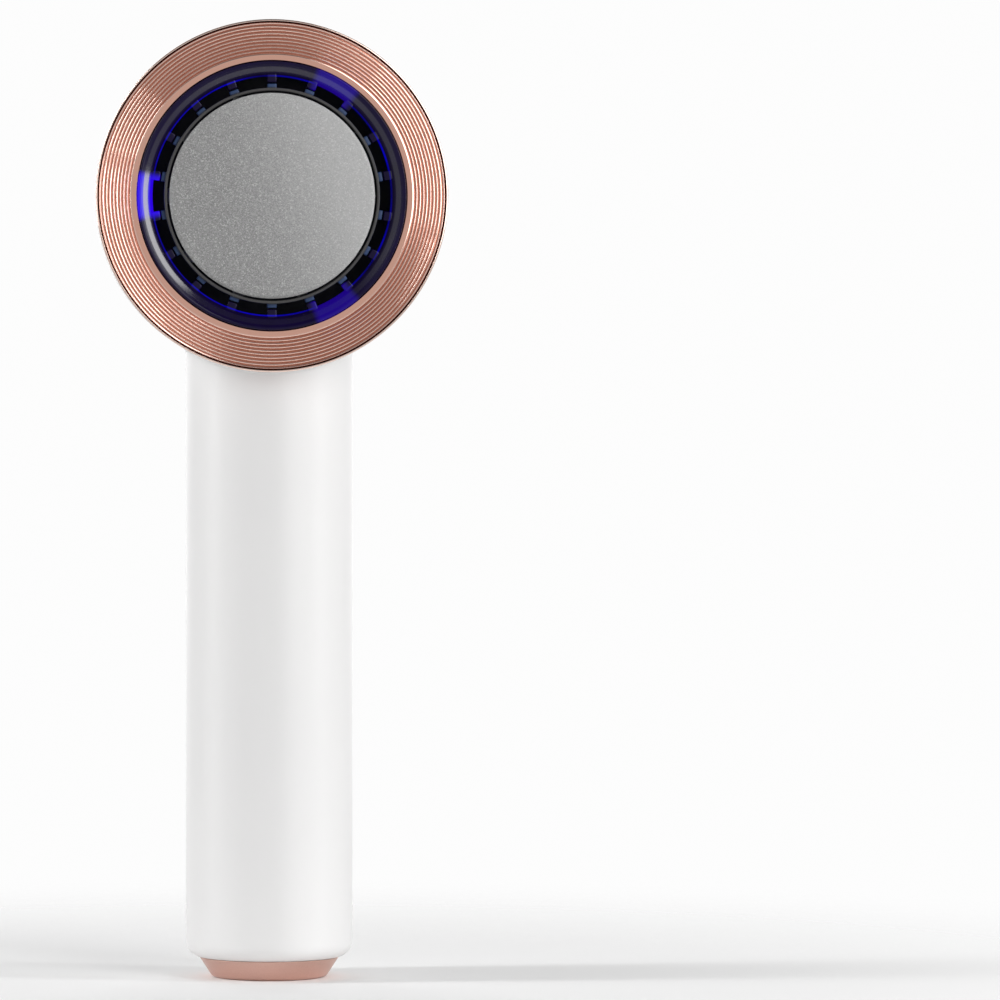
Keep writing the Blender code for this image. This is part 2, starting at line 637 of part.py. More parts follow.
def add_screw(name, circle, angle, head_front, length, finish):
    """A pan-head screw whose head faces the front."""
    head_rear = head_front + SCREW_HEAD_HEIGHT
    profile = [
        (0, head_front), (SCREW_HEAD_RADIUS, head_front), (SCREW_HEAD_RADIUS, head_rear),
        (SCREW_SHANK_RADIUS, head_rear), (SCREW_SHANK_RADIUS, head_rear + length),
        (0, head_rear + length),
    ]
    screw = turned(name, profile, "head", 16, finish, ring=False)
    screw.location = Vector((circle * math.cos(angle), circle * math.sin(angle), 0)) * MM
    slot = (SCREW_HEAD_RADIUS * 3, 0.5, 0.8)
    tool = block(f"tool_{name}_slot", slot, (0, 0, head_front), "head")
    tool.location = screw.location
    cut(screw, tool)


def build_motor(steel, black, plate_finish, brass):
    """The motor plate, the motor's can and end cap, its bearings, and the screws."""
    plate = ring_of("motor_plate", BEARING_RADIUS + 0.6, SEAT_RADIUS, PLATE_FRONT, PLATE_REAR,
                    "head", FINE, plate_finish)
    hole = SCREW_SHANK_RADIUS + FIT
    cut(plate, drills_around("tool_plate_motor_holes", 2, hole, MOTOR_SCREW_CIRCLE,
                             PLATE_FRONT - 1, PLATE_REAR + 1, "head"))
    cut(plate, drills_around("tool_plate_chassis_holes", CHASSIS_SCREW_COUNT, hole,
                             CHASSIS_SCREW_CIRCLE, PLATE_FRONT - 1, PLATE_REAR + 1, "head",
                             -math.pi / 2))
    inner = MOTOR_RADIUS - MOTOR_WALL
    seat = BEARING_RADIUS + FIT
    wall_rear = MOTOR_FRONT + MOTOR_WALL
    can_profile = [
        (seat, MOTOR_FRONT), (MOTOR_RADIUS, MOTOR_FRONT), (MOTOR_RADIUS, MOTOR_REAR),
        (inner, MOTOR_REAR), (inner, wall_rear), (seat, wall_rear),
    ]
    can = turned("motor_can", can_profile, "head", MEDIUM, steel)
    cut(can, drills_around("tool_can_holes", 2, hole, MOTOR_SCREW_CIRCLE,
                           MOTOR_FRONT - 1, wall_rear + 0.5, "head"))
    ring_of("motor_end_cap", seat, MOTOR_RADIUS, END_CAP_FRONT, END_CAP_REAR, "head", MEDIUM, black)
    bearing_bore = SHAFT_RADIUS + FIT
    ring_of("front_bearing", bearing_bore, BEARING_RADIUS, MOTOR_FRONT,
            MOTOR_FRONT + BEARING_LENGTH, "head", SMALL, brass)
    ring_of("rear_bearing", bearing_bore, BEARING_RADIUS, END_CAP_REAR - BEARING_LENGTH,
            END_CAP_REAR, "head", SMALL, brass)
    head_front = PLATE_FRONT - FIT - SCREW_HEAD_HEIGHT
    short = FIT + PLATE_THICKNESS + FIT + MOTOR_WALL * 0.8
    for index in range(2):
        add_screw(f"motor_screw_{index + 1}", MOTOR_SCREW_CIRCLE, index * math.pi, head_front,
                  short, steel)
    for index in range(CHASSIS_SCREW_COUNT):
        angle = -math.pi / 2 + index * 2 * math.pi / CHASSIS_SCREW_COUNT
        add_screw(f"chassis_screw_{index + 1}", CHASSIS_SCREW_CIRCLE, angle, head_front,
                  CHASSIS_SCREW_LENGTH, steel)


def build_controls(white, rose, board, black, steel):
    """The control board with its switch, the rear cover, and the button on its wave washer."""
    disc_of("control_board", SEAT_RADIUS, BOARD_FRONT, BOARD_REAR, "head", FINE, board)
    size = (SWITCH_SIDE, SWITCH_SIDE, SWITCH_HEIGHT)
    switch = block("tact_switch", size, (0, 0, SWITCH_FRONT + SWITCH_HEIGHT / 2), "head", black)
    join(switch, disc_of("tool_plunger", PLUNGER_RADIUS, SWITCH_REAR - 0.5, PLUNGER_REAR, "head", 16))
    hole = BUTTON_RADIUS + BUTTON_GAP
    skirt_outer = SEAT_RADIUS
    skirt_inner = skirt_outer - COVER_SKIRT_WALL
    skirt_front = COVER_FRONT - COVER_SKIRT_LENGTH
    cover = [
        (hole, COVER_FRONT), (skirt_inner, COVER_FRONT), (skirt_inner, skirt_front),
        (skirt_outer, skirt_front), (skirt_outer, COVER_FRONT), (HEAD_RADIUS, COVER_FRONT),
    ]
    cover += arc((HEAD_RADIUS - COVER_EDGE, COVER_REAR - COVER_EDGE), COVER_EDGE, 0, 90, 3)
    cover += [(hole, COVER_REAR)]
    turned("rear_cover", cover, "head", FINE, white)
    flange = BUTTON_RADIUS + BUTTON_FLANGE
    under = BUTTON_REAR - BUTTON_FACE
    wall = BUTTON_RADIUS - 1.2
    cap = [
        (0, STEM_FRONT), (STEM_RADIUS, STEM_FRONT), (STEM_RADIUS, under), (wall, under),
        (wall, STEM_FRONT), (flange, STEM_FRONT), (flange, FLANGE_REAR), (BUTTON_RADIUS, FLANGE_REAR),
    ]
    cap += arc((BUTTON_RADIUS - BUTTON_EDGE, BUTTON_REAR - BUTTON_EDGE), BUTTON_EDGE, 0, 90)
    cap += [(0, BUTTON_REAR)]
    turned("power_button", cap, "button", FINE, rose, ring=False)
    build_washer(steel)


def build_washer(steel):
    """A flat ring bent into waves, which pushes the button back out."""
    middle = BOARD_REAR + (STEM_FRONT - BUTTON_TRAVEL - BOARD_REAR) / 2
    shape = bmesh.new()
    half = WASHER_THICKNESS / 2
    rings = []
    for radius, lift in ((WASHER_RADIUS, -half), (WASHER_RADIUS + WASHER_WIDTH, -half),
                         (WASHER_RADIUS + WASHER_WIDTH, half), (WASHER_RADIUS, half)):
        ring = []
        for index in range(MEDIUM):
            angle = 2 * math.pi * index / MEDIUM
            depth = middle + lift + WASHER_WAVE * math.cos(WASHER_WAVES * angle)
            ring.append(shape.verts.new(
                Vector((radius * math.cos(angle), radius * math.sin(angle), depth)) * MM))
        rings.append(ring)
    for ring, following in zip(rings, rings[1:] + rings[:1]):
        for index in range(MEDIUM):
            after = (index + 1) % MEDIUM
            shape.faces.new((ring[index], ring[after], following[after], following[index]))
    add_object("wave_washer", shape, "head", steel)


def build_product():
    clear_scene()
    build_frames()
    white = material("satin_white_shell", (0.80, 0.79, 0.79), 0.35)
    rose = material("rose_gold", (0.56, 0.35, 0.29), 0.32, 0.85)
    blue = material("clear_blue", (0.02, 0.01, 0.25), 0.12)
    grey = material("dark_grey_guard", (0.05, 0.05, 0.05), 0.45)
    grit = material("grey_grit", (0.33, 0.33, 0.32), 0.8)
    black = material("black_plastic", (0.02, 0.02, 0.02), 0.5)
    rubber = material("black_rubber", (0.015, 0.015, 0.015), 0.8)
    steel = material("bright_steel", (0.6, 0.6, 0.6), 0.3, 1.0)
    board = material("green_board", (0.02, 0.16, 0.07), 0.5)
    felt = material("pale_felt", (0.75, 0.74, 0.70), 0.95)
    clear = material("smoked_plastic", (0.12, 0.12, 0.13), 0.3)
    glow = material("blue_led", (0.1, 0.1, 0.9), 0.3)
    copper = material("copper_winding", (0.55, 0.22, 0.10), 0.4, 0.8)
    brass = material("sintered_bronze", (0.45, 0.30, 0.14), 0.4, 0.9)
    wrap = material("cell_wrap", (0.05, 0.22, 0.45), 0.4)
    red = material("red_lead", (0.55, 0.02, 0.02), 0.5)
    dark = material("black_lead", (0.02, 0.02, 0.02), 0.5)
    build_shell(white)
    board_top = build_foot(rose, steel, black, board)
    build_battery(board_top, wrap, black, red, dark)
    build_collar(rose, blue, grey, rubber)
    build_disc(grit, grey)
    build_rotor(steel, copper, black)
    build_air_path(clear, felt, black, board, glow)
    build_motor(steel, black, black, brass)
    build_controls(white, rose, board, black, steel)


build_product()
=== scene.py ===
# %% [markdown]
# # A rotary skin smoother, finished around its fixed frame
# The frame is the working model: every piece in its place, on the body that it moves with. It is
# loaded first and never changed. This lesson gives each visible piece a fine surface, worked out
# with numpy, and each piece a finish made of shader nodes.

# %% Load the frame
import json
import math

import bmesh
import bpy
import numpy as np
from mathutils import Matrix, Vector


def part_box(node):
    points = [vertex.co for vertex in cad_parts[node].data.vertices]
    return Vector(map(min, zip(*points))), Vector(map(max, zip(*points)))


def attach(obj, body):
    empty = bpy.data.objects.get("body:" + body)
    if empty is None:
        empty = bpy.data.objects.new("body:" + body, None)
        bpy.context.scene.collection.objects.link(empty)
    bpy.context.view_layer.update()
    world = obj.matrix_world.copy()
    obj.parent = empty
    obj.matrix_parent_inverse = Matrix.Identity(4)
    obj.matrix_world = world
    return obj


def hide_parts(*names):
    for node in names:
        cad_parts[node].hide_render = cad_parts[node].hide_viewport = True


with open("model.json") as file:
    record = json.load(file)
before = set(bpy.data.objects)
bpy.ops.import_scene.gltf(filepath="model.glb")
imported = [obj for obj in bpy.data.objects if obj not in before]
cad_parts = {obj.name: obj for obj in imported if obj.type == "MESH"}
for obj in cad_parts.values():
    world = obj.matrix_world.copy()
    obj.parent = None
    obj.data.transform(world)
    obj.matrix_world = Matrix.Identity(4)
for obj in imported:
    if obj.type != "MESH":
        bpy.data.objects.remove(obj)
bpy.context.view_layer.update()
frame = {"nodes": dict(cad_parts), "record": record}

# %% [markdown]
# ## Places and sizes
# Places come from the boxes of the frame's own nodes, such as the head's axis and radius from
# the trim ring. Sizes that a box can't tell, such as the handle's radius or the width of a
# groove, are named in millimetres next to the piece that they belong to.

# %% Where things are
MM = 0.001
TURN = 2 * math.pi
MERGE_DISTANCE = 0.002


def extent(node, axis):
    """Lowest and highest coordinate of a node along one axis, in millimetres."""
    low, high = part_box(node)
    return 1000 * low[axis], 1000 * high[axis]


trim_left, trim_right = extent("trim_ring", 0)
trim_bottom, trim_top = extent("trim_ring", 2)
HEAD_RADIUS = (trim_right - trim_left) / 2
HEAD_HEIGHT = (trim_bottom + trim_top) / 2
DISC_RADIUS = (extent("abrasive_pad", 0)[1] - extent("abrasive_pad", 0)[0]) / 2
SEAT_RADIUS = extent("control_board", 0)[1]
print("head radius", round(HEAD_RADIUS, 2), "at height", round(HEAD_HEIGHT, 2))
print("disc radius", round(DISC_RADIUS, 2), "seat", round(SEAT_RADIUS, 2))

# %% [markdown]
# ## From arrays to a mesh
# A surface here is a grid of points: rows run round the piece and columns run along its outline.
# The same grid gives the faces, because each cell is one quad. Several grids that share their
# edges become one closed piece once the doubled points are merged.

# %% Grids, meshes and pieces
def cells(rows, columns, round_rows=True, round_columns=False):
    """Quads of a grid of points: each cell joins a point to its three neighbours, wrapped where asked."""
    index = np.arange(rows * columns).reshape(rows, columns)
    if round_rows:
        index = np.vstack([index, index[:1]])
    if round_columns:
        index = np.hstack([index, index[:, :1]])
    quads = [index[:-1, :-1], index[1:, :-1], index[1:, 1:], index[:-1, 1:]]
    return np.stack(quads, -1).reshape(-1, 4)


def surface(points, round_rows=True, round_columns=False):
    """A patch: the points of a grid in millimetres, flattened, with its quads."""
    rows, columns = points.shape[:2]
    return points.reshape(-1, 3), cells(rows, columns, round_rows, round_columns)


def make_piece(name, patches, body=None, sharp=35):
    """One mesh from patches: points are stacked, doubles merged and faces turned outwards.

    It is shaded smooth, except across edges that turn by more than sharp degrees.
    """
    shift = np.cumsum([0] + [len(points) for points, _ in patches[:-1]])
    points = np.concatenate([points for points, _ in patches]) * MM
    quads = np.concatenate([faces + start for (_, faces), start in zip(patches, shift)])
    mesh = bpy.data.meshes.new(name)
    mesh.vertices.add(len(points))
    mesh.vertices.foreach_set("co", points.astype(np.float32).ravel())
    mesh.loops.add(quads.size)
    mesh.loops.foreach_set("vertex_index", quads.astype(np.int32).ravel())
    mesh.polygons.add(len(quads))
    mesh.polygons.foreach_set("loop_start", np.arange(0, quads.size, 4, dtype=np.int32))
    mesh.update(calc_edges=True)
    shape = bmesh.new()
    shape.from_mesh(mesh)
    bmesh.ops.remove_doubles(shape, verts=shape.verts, dist=MERGE_DISTANCE * MM)
    bmesh.ops.recalc_face_normals(shape, faces=shape.faces)
    shape.to_mesh(mesh)
    shape.free()
    mesh.shade_smooth()
    mesh.set_sharp_from_angle(angle=math.radians(sharp))
    made = bpy.data.objects.new(name, mesh)
    bpy.context.collection.objects.link(made)
    if body:
        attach(made, body)
    print(name, len(mesh.polygons), "faces")
    return made


# %% [markdown]
# ## Outlines with rounded corners
# Most of this product is turned: a drum, a tube, rings and a button. Each one is an outline of
# (radius, place along the axis, rounding) corners. A rounded corner is an arc that touches both
# sides, which is what makes an edge catch a thin line of light as a moulded edge does.

# %% Rounded outlines and turned grids
def rounded(corners, steps=6, closed=True):
    """Each corner becomes an arc tangent to both sides; its centre is on the line that halves the corner."""
    spots = np.array([corner[:2] for corner in corners], float)
    outline = []
    for index, (_, _, fillet) in enumerate(corners):
        spot = spots[index]
        before, after = spots[index - 1] - spot, spots[(index + 1) % len(spots)] - spot
        at_end = not closed and index in (0, len(spots) - 1)
        if fillet == 0 or at_end:
            outline.append(spot[None])
            continue
        before /= np.hypot(*before)
        after /= np.hypot(*after)
        middle = (before + after) / np.hypot(*(before + after))
        half = math.acos(np.clip(before @ after, -1, 1)) / 2
        centre = spot + middle * fillet / math.sin(half)
        first = spot + before * fillet / math.tan(half) - centre
        last = spot + after * fillet / math.tan(half) - centre
        sweep = math.atan2(first[0] * last[1] - first[1] * last[0], first @ last)
        angle = math.atan2(first[1], first[0]) + sweep * np.linspace(0, 1, steps + 1)
        outline.append(centre + fillet * np.stack([np.cos(angle), np.sin(angle)], -1))
    return np.concatenate(outline)


def around_head(radius, depth, angle):
    """Points round the head's axis: x and z turn with the angle, and y is the place along the axis."""
    x = radius * np.cos(angle)
    z = HEAD_HEIGHT + radius * np.sin(angle)
    return np.stack(np.broadcast_arrays(x, depth, z), -1)


def around_handle(radius, height, angle):
    """Points round the handle's axis: x and y turn with the angle, and z is the height."""
    x = radius * np.cos(angle)
    y = radius * np.sin(angle)
    return np.stack(np.broadcast_arrays(x, y, height), -1)


def turned(outline, steps, place=around_head, closed=True):
    """Turns an outline of (radius, place) points: every point is carried round the axis in equal steps."""
    angle = np.arange(steps)[:, None] * TURN / steps
    points = place(outline[:, 0][None], outline[:, 1][None], angle)
    return surface(points, round_columns=closed)


# %% [markdown]
# ## Shader maths as plain expressions
# A finish is a sum of small effects: a colour that drifts, a mask, a fine bump. The class below
# wraps a socket, so that `1 - mask * 0.5` adds the Math nodes itself. Any other node is asked for
# by its type, with its settings and the values or links of its sockets.

# %% The shader kit
class Wire:
    """One output socket. Arithmetic on it adds a Math node and returns that node's output."""

    def __init__(self, tree, socket):
        self.tree = tree
        self.socket = socket

    def maths(self, operation, first, second=0.0):
        """The output of one new Math node."""
        return self.tree.add("ShaderNodeMath", {"operation": operation}, {0: first, 1: second})

    def __add__(self, other):
        return self.maths("ADD", self, other)

    def __sub__(self, other):
        return self.maths("SUBTRACT", self, other)

    def __rsub__(self, other):
        return self.maths("SUBTRACT", other, self)

    def __mul__(self, other):
        return self.maths("MULTIPLY", self, other)

    def __gt__(self, other):
        return self.maths("GREATER_THAN", self, other)

    def __lt__(self, other):
        return self.maths("LESS_THAN", self, other)

    def apply(self, operation):
        """A function of one number, such as SINE, COSINE or SQRT."""
        return self.maths(operation, self)

    def smooth(self, low, high):
        """0 below low, 1 above high, and the S-curve 3t2 - 2t3 between them."""
        values = {"Value": self, "From Min": low, "From Max": high}
        settings = {"interpolation_type": "SMOOTHSTEP"}
        return self.tree.add("ShaderNodeMapRange", settings, values)

    __radd__ = __add__
    __rmul__ = __mul__


class Graph:
    """A node tree to which nodes are added one at a time."""

    def __init__(self, tree):
        self.nodes = tree.nodes
        self.links = tree.links

    def feed(self, node, socket, value):
        """Gives a socket a link, a colour of three numbers, or another plain value."""
        if isinstance(value, Wire):
            self.links.new(value.socket, node.inputs[socket])
        elif isinstance(value, tuple) and len(value) == 3 and node.inputs[socket].type == "RGBA":
            node.inputs[socket].default_value = (*value, 1.0)
        else:
            node.inputs[socket].default_value = value

    def add(self, kind, settings=None, values=None, output=0):
        """One node: its settings are made first, then its sockets are fed; one output is returned."""
        node = self.nodes.new(kind)
        for name, value in (settings or {}).items():
            setattr(node, name, value)
        for socket, value in (values or {}).items():
            self.feed(node, socket, value)
        return Wire(self, node.outputs[output])


class Finish(Graph):
    """A node material with one Principled shader."""

    def __init__(self, name, **constants):
        self.material = bpy.data.materials.new(name)
        self.material.use_nodes = True
        super().__init__(self.material.node_tree)
        self.shader = self.nodes["Principled BSDF"]
        self.set(**constants)
        self.place = self.add("ShaderNodeTexCoord", output="Object")

    def noise(self, size, detail=3.0, roughness=0.5):
        """Cloudy noise whose features are about size millimetres across."""
        values = {"Vector": self.place, "Scale": 1000 / size, "Detail": detail, "Roughness": roughness}
        return self.add("ShaderNodeTexNoise", None, values)

    def speckle(self, size):
        """A different random number in each grain of about size millimetres."""
        values = {"Vector": self.place, "Scale": 1000 / size}
        colour = self.add("ShaderNodeTexVoronoi", None, values, "Color")
        return self.add("ShaderNodeSeparateColor", None, {"Color": colour})

    def axes(self):
        """The point's three coordinates, in metres."""
        vector = {"Vector": self.place}
        return [self.add("ShaderNodeSeparateXYZ", None, vector, axis) for axis in ("X", "Y", "Z")]

    def about_head(self):
        """Place across, along and above the head's axis, and the distance from it, in metres."""
        x, y, z = self.axes()
        above = z - HEAD_HEIGHT * MM
        return x, y, above, (x * x + above * above).apply("SQRT")

    def blend(self, factor, first, second):
        """A colour between two colours."""
        settings = {"data_type": "RGBA"}
        values = {"Factor": factor, 6: first, 7: second}
        return self.add("ShaderNodeMix", settings, values, 2)

    def set(self, **sockets):
        """Feeds sockets of the shader; an underscore in a name stands for a space."""
        for socket, value in sockets.items():
            self.feed(self.shader, socket.replace("_", " "), value)

    def bump(self, height, depth):
        """Tilts the surface as if it were raised by the height times depth millimetres."""
        values = {"Height": height, "Distance": depth * MM, "Strength": 1.0}
        self.set(Normal=self.add("ShaderNodeBump", None, values))


def wear(piece, finish):
    """Gives a piece one finish."""
    piece.data.materials.clear()
    piece.data.materials.append(finish.material)


print("shader kit ready")

# %% [markdown]
# ## The housing
# The real shell is one white moulding: a drum on a round handle. Its outside is drawn as two
# turned surfaces that meet along a curve. Seen from above, a point of the handle lies under the
# drum where the drum's circle reaches that same x, so the handle's upper edge rises and falls
# with x. A short curve with its control point on that edge rounds the inside corner. The vents
# on the flanks are pressed into the drum's grid by a mask, with the grid made finer there.

# %% The housing's sizes
DRUM_WALL = 2.0
RIM_ROUNDING = 0.25
HANDLE_RADIUS = 17.2
HANDLE_WALL = 1.8
HANDLE_CORNER = 3.3
HANDLE_START = 12.0
NECK_ROUNDING = 0.8
NECK_SINK = 0.03
MOUTH_RADIUS = 13.8
MOUTH_CONE = 3.2
BORE_START = 6.0
VENTS = 7
VENT_STEP = math.radians(5.5)
VENT_HALF_WIDTH = 0.8
VENT_HALF_LENGTH = 2.7
VENT_DEPTH = 1.7
VENT_SOFTNESS = 0.12
FINE_STRETCH = 4.0

drum_front, drum_rear = extent("body_shell", 1)
shell_floor = extent("body_shell", 2)[0]
fan_front, fan_rear = extent("fan_impeller", 1)
vent_middle = (fan_front + fan_rear) / 2
print("drum from", round(drum_front, 2), "to", round(drum_rear, 2), "vents at", round(vent_middle, 2))


# %% Drum and handle
def step_between(value, low, high):
    """0 below low, 1 above high, with the S-curve 3t2 - 2t3 between them."""
    t = np.clip((value - low) / (high - low), 0, 1)
    return t * t * (3 - 2 * t)


def drum_patch():
    """A turned tube whose radius drops by the vent's depth inside each round-ended slot.

    The grid is finer on the flanks, and along the axis over the stretch that holds the vents.
    """
    spread = (VENTS + 1) / 2 * VENT_STEP
    start, end = vent_middle - FINE_STRETCH, vent_middle + FINE_STRETCH
    near = np.linspace(-spread, spread, 260)
    far = np.linspace(spread, math.pi - spread, 80)[1:-1]
    angle = np.concatenate([near, far, near + math.pi, far + math.pi])[:, None]
    wall = np.concatenate([
        np.linspace(drum_front + RIM_ROUNDING, start, 8)[:-1],
        np.linspace(start, end, 54)[:-1],
        np.linspace(end, drum_rear - RIM_ROUNDING, 12),
    ])
    rim = np.linspace(0, math.pi / 2, 5)[:-1]
    low_edge = HEAD_RADIUS - RIM_ROUNDING + RIM_ROUNDING * np.sin(rim)
    low_place = drum_front + RIM_ROUNDING - RIM_ROUNDING * np.cos(rim)
    high_place = drum_rear + drum_front - low_place[::-1]
    inner = HEAD_RADIUS - DRUM_WALL
    radius = np.concatenate([[inner], low_edge, np.full(len(wall), HEAD_RADIUS), low_edge[::-1], [inner]])
    place = np.concatenate([[drum_front], low_place, wall, high_place, [drum_rear]])
    flank = np.angle(np.exp(2j * angle)) / 2
    nearest = np.clip(np.round(flank / VENT_STEP), -(VENTS - 1) / 2, (VENTS - 1) / 2)
    across = (flank - nearest * VENT_STEP) * HEAD_RADIUS
    along = np.maximum(np.abs(place[None] - vent_middle) - (VENT_HALF_LENGTH - VENT_HALF_WIDTH), 0)
    outside = np.hypot(across, along) - VENT_HALF_WIDTH
    sunk = VENT_DEPTH * (1 - step_between(outside, -VENT_SOFTNESS, VENT_SOFTNESS))
    sunk = sunk * (radius[None] >= HEAD_RADIUS)
    return surface(around_head(radius[None] - sunk, place[None], angle), round_columns=True)


def handle_patch(steps=192):
    """A tube whose lower rim is rounded, and whose upper edge follows the drum and turns out along it."""
    angle = np.arange(steps)[:, None] * TURN / steps
    out = around_handle(1.0, 0.0, angle)
    x = HANDLE_RADIUS * out[..., 0]
    meet = HEAD_HEIGHT - np.sqrt(HEAD_RADIUS**2 - x**2)
    corner = around_handle(HANDLE_RADIUS, meet, angle)
    drum_normal = np.stack([x, 0 * x, meet - HEAD_HEIGHT], -1) / HEAD_RADIUS
    slope = out - (out * drum_normal).sum(-1, keepdims=True) * drum_normal
    slope /= np.linalg.norm(slope, axis=-1, keepdims=True)
    below = corner - np.array([0, 0, NECK_ROUNDING])
    beside = corner + slope * NECK_ROUNDING - drum_normal * NECK_SINK
    t = np.linspace(0, 1, 7)[None, :, None]
    neck = (1 - t) ** 2 * below + 2 * t * (1 - t) * corner + t * t * beside
    inner = HANDLE_RADIUS - HANDLE_WALL
    foot = rounded([
        (inner, shell_floor + BORE_START, 0), (inner, shell_floor + MOUTH_CONE, 0),
        (MOUTH_RADIUS, shell_floor + HANDLE_WALL, 0),
        (MOUTH_RADIUS, shell_floor, 0.15), (HANDLE_RADIUS, shell_floor, HANDLE_CORNER),
        (HANDLE_RADIUS, shell_floor + HANDLE_START, 0),
    ], steps=12, closed=False)
    low = around_handle(foot[:, 0][None], foot[:, 1][None], angle)
    wall = low[:, -1:] + (below - low[:, -1:]) * np.linspace(0, 1, 12)[None, 1:-1, None]
    top = around_handle(inner, meet + DRUM_WALL / 2, angle)
    return surface(np.concatenate([low, wall, neck, top], axis=1), round_columns=True)


shell = make_piece("housing_skin", [drum_patch(), handle_patch()], "housing")
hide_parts("body_shell")

# %% [markdown]
# ## The rear cover and the button
# The cover is a plain turned plate with a soft edge. The button's face carries a sunk power
# symbol: a ring with a gap at the top and a bar. Both are described by the distance from a point
# to the middle of the line, less half the line's width, which is negative inside the line. The
# face is a grid of rings, and each point sinks where that distance is negative. A Boolean cut
# would leave long thin faces round the symbol, which shade unevenly.

# %% Rear cover
COVER_EDGE = 1.3
COVER_SKIRT_LENGTH = 2.6
COVER_SKIRT_WALL = 1.2
BUTTON_RADIUS = 11.2
BUTTON_GAP = 0.35

cover_front, cover_rear = extent("rear_cover", 1)
hole = BUTTON_RADIUS + BUTTON_GAP
seat = cover_front + COVER_SKIRT_LENGTH
skirt_inner = SEAT_RADIUS - COVER_SKIRT_WALL
cover_outline = rounded([
    (hole, seat, 0.1), (skirt_inner, seat, 0), (skirt_inner, cover_front, 0.1),
    (SEAT_RADIUS, cover_front, 0.2), (SEAT_RADIUS, seat, 0),
    (HEAD_RADIUS, seat, 0.2), (HEAD_RADIUS, cover_rear, COVER_EDGE), (hole, cover_rear, 0.25),
], steps=10)
cover = make_piece("rear_cover_skin", [turned(cover_outline, 256)], "housing")
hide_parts("rear_cover")

# %% Power button with its sunk symbol
SYMBOL_RADIUS = 3.86
SYMBOL_HALF_WIDTH = 0.66
SYMBOL_HALF_GAP = math.radians(31)
SYMBOL_TOP = 4.55
SYMBOL_BOTTOM = 0.35
SYMBOL_DEPTH = 0.32
SYMBOL_DROP = 0.2
SYMBOL_SOFTNESS = 0.06
SYMBOL_REACH = 6.0
BUTTON_EDGE = 0.35
FLANGE_THICKNESS = 0.5

button_low, button_high = extent("power_button", 1)
flange_radius = extent("power_button", 0)[1]


def symbol_distance(x, z):
    """Distance to an open ring or to an upright bar, whichever is nearer, less half the line's width."""
    z = z + SYMBOL_DROP
    angle = np.abs(np.arctan2(x, z))
    on_ring = np.abs(np.hypot(x, z) - SYMBOL_RADIUS)
    end_x = SYMBOL_RADIUS * math.sin(SYMBOL_HALF_GAP)
    end_z = SYMBOL_RADIUS * math.cos(SYMBOL_HALF_GAP)
    at_end = np.hypot(np.abs(x) - end_x, z - end_z)
    ring = np.where(angle > SYMBOL_HALF_GAP, on_ring, at_end)
    bar = np.hypot(x, z - np.clip(z, SYMBOL_BOTTOM, SYMBOL_TOP - SYMBOL_HALF_WIDTH))
    return np.minimum(ring, bar) - SYMBOL_HALF_WIDTH


def button_patches():
    """A face of rings that sinks along the symbol, and a turned side with the flange behind the cover.

    The rings are finer out to the symbol's reach. The edge's arc is kept a little smaller than
    the edge, so that it ends beside the face and not on its last ring.
    """
    steps = 480
    angle = np.arange(steps)[:, None] * TURN / steps
    flat = BUTTON_RADIUS - BUTTON_EDGE
    inner, outer = np.linspace(0, SYMBOL_REACH, 86), np.linspace(SYMBOL_REACH, flat, 10)
    radius = np.concatenate([inner, outer[1:]])[None]
    x, z = radius * np.cos(angle), radius * np.sin(angle)
    sunk = SYMBOL_DEPTH * (1 - step_between(symbol_distance(x, z), -SYMBOL_HALF_WIDTH, SYMBOL_SOFTNESS))
    face = around_head(radius, button_high - sunk, angle)
    flange = button_low + FLANGE_THICKNESS
    side = rounded([
        (flat, button_high, 0), (BUTTON_RADIUS, button_high, BUTTON_EDGE * 0.98),
        (BUTTON_RADIUS, flange, 0.1), (flange_radius, flange, 0.1),
        (flange_radius, button_low, 0.1), (0, button_low, 0),
    ], steps=8, closed=False)
    return [surface(face), turned(side, steps, closed=False)]


button = make_piece("power_button_skin", button_patches(), "button")
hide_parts("power_button")

# %% [markdown]
# ## The collar: grooved trim, clear ring and guard
# The trim ring is turned on a lathe, and its face has ten fine grooves. Drawn as real geometry,
# each groove catches its own line of light all the way round, and hides part of the next one when
# the ring is seen at a slant, which a bump can't do. The depth follows a triangle wave with blunt
# tips, the arc cosine of a cosine, so that nearly all of a groove's side has one slope. The last
# groove is deeper, and a rounded lip outside it closes the face. The clear ring slopes inwards
# like a funnel, so each side of it mirrors the light on the opposite side.

# %% Grooved trim ring
GROOVES = 10
GROOVE_PITCH = 0.702
GROOVE_DEPTH = 0.27
LAST_GROOVE_DEPTH = 0.5
LAST_GROOVE_SHARE = 0.77
GROOVE_POINTEDNESS = 0.96
CREST_STEP = 0.04
FIRST_GROOVE = 28.76
LIP_INNER = 35.5
LIP_ROUNDING = 0.32
INNER_ROUNDING = 0.28
TRIM_INNER = 27.4
SKIRT_WALL = 1.7
SKIRT_GAP = 0.2
TRIM_GAP = 0.3
POINTS_PER_GROOVE = 12

trim_front, trim_rear = extent("trim_ring", 1)
trim_back = drum_front - TRIM_GAP


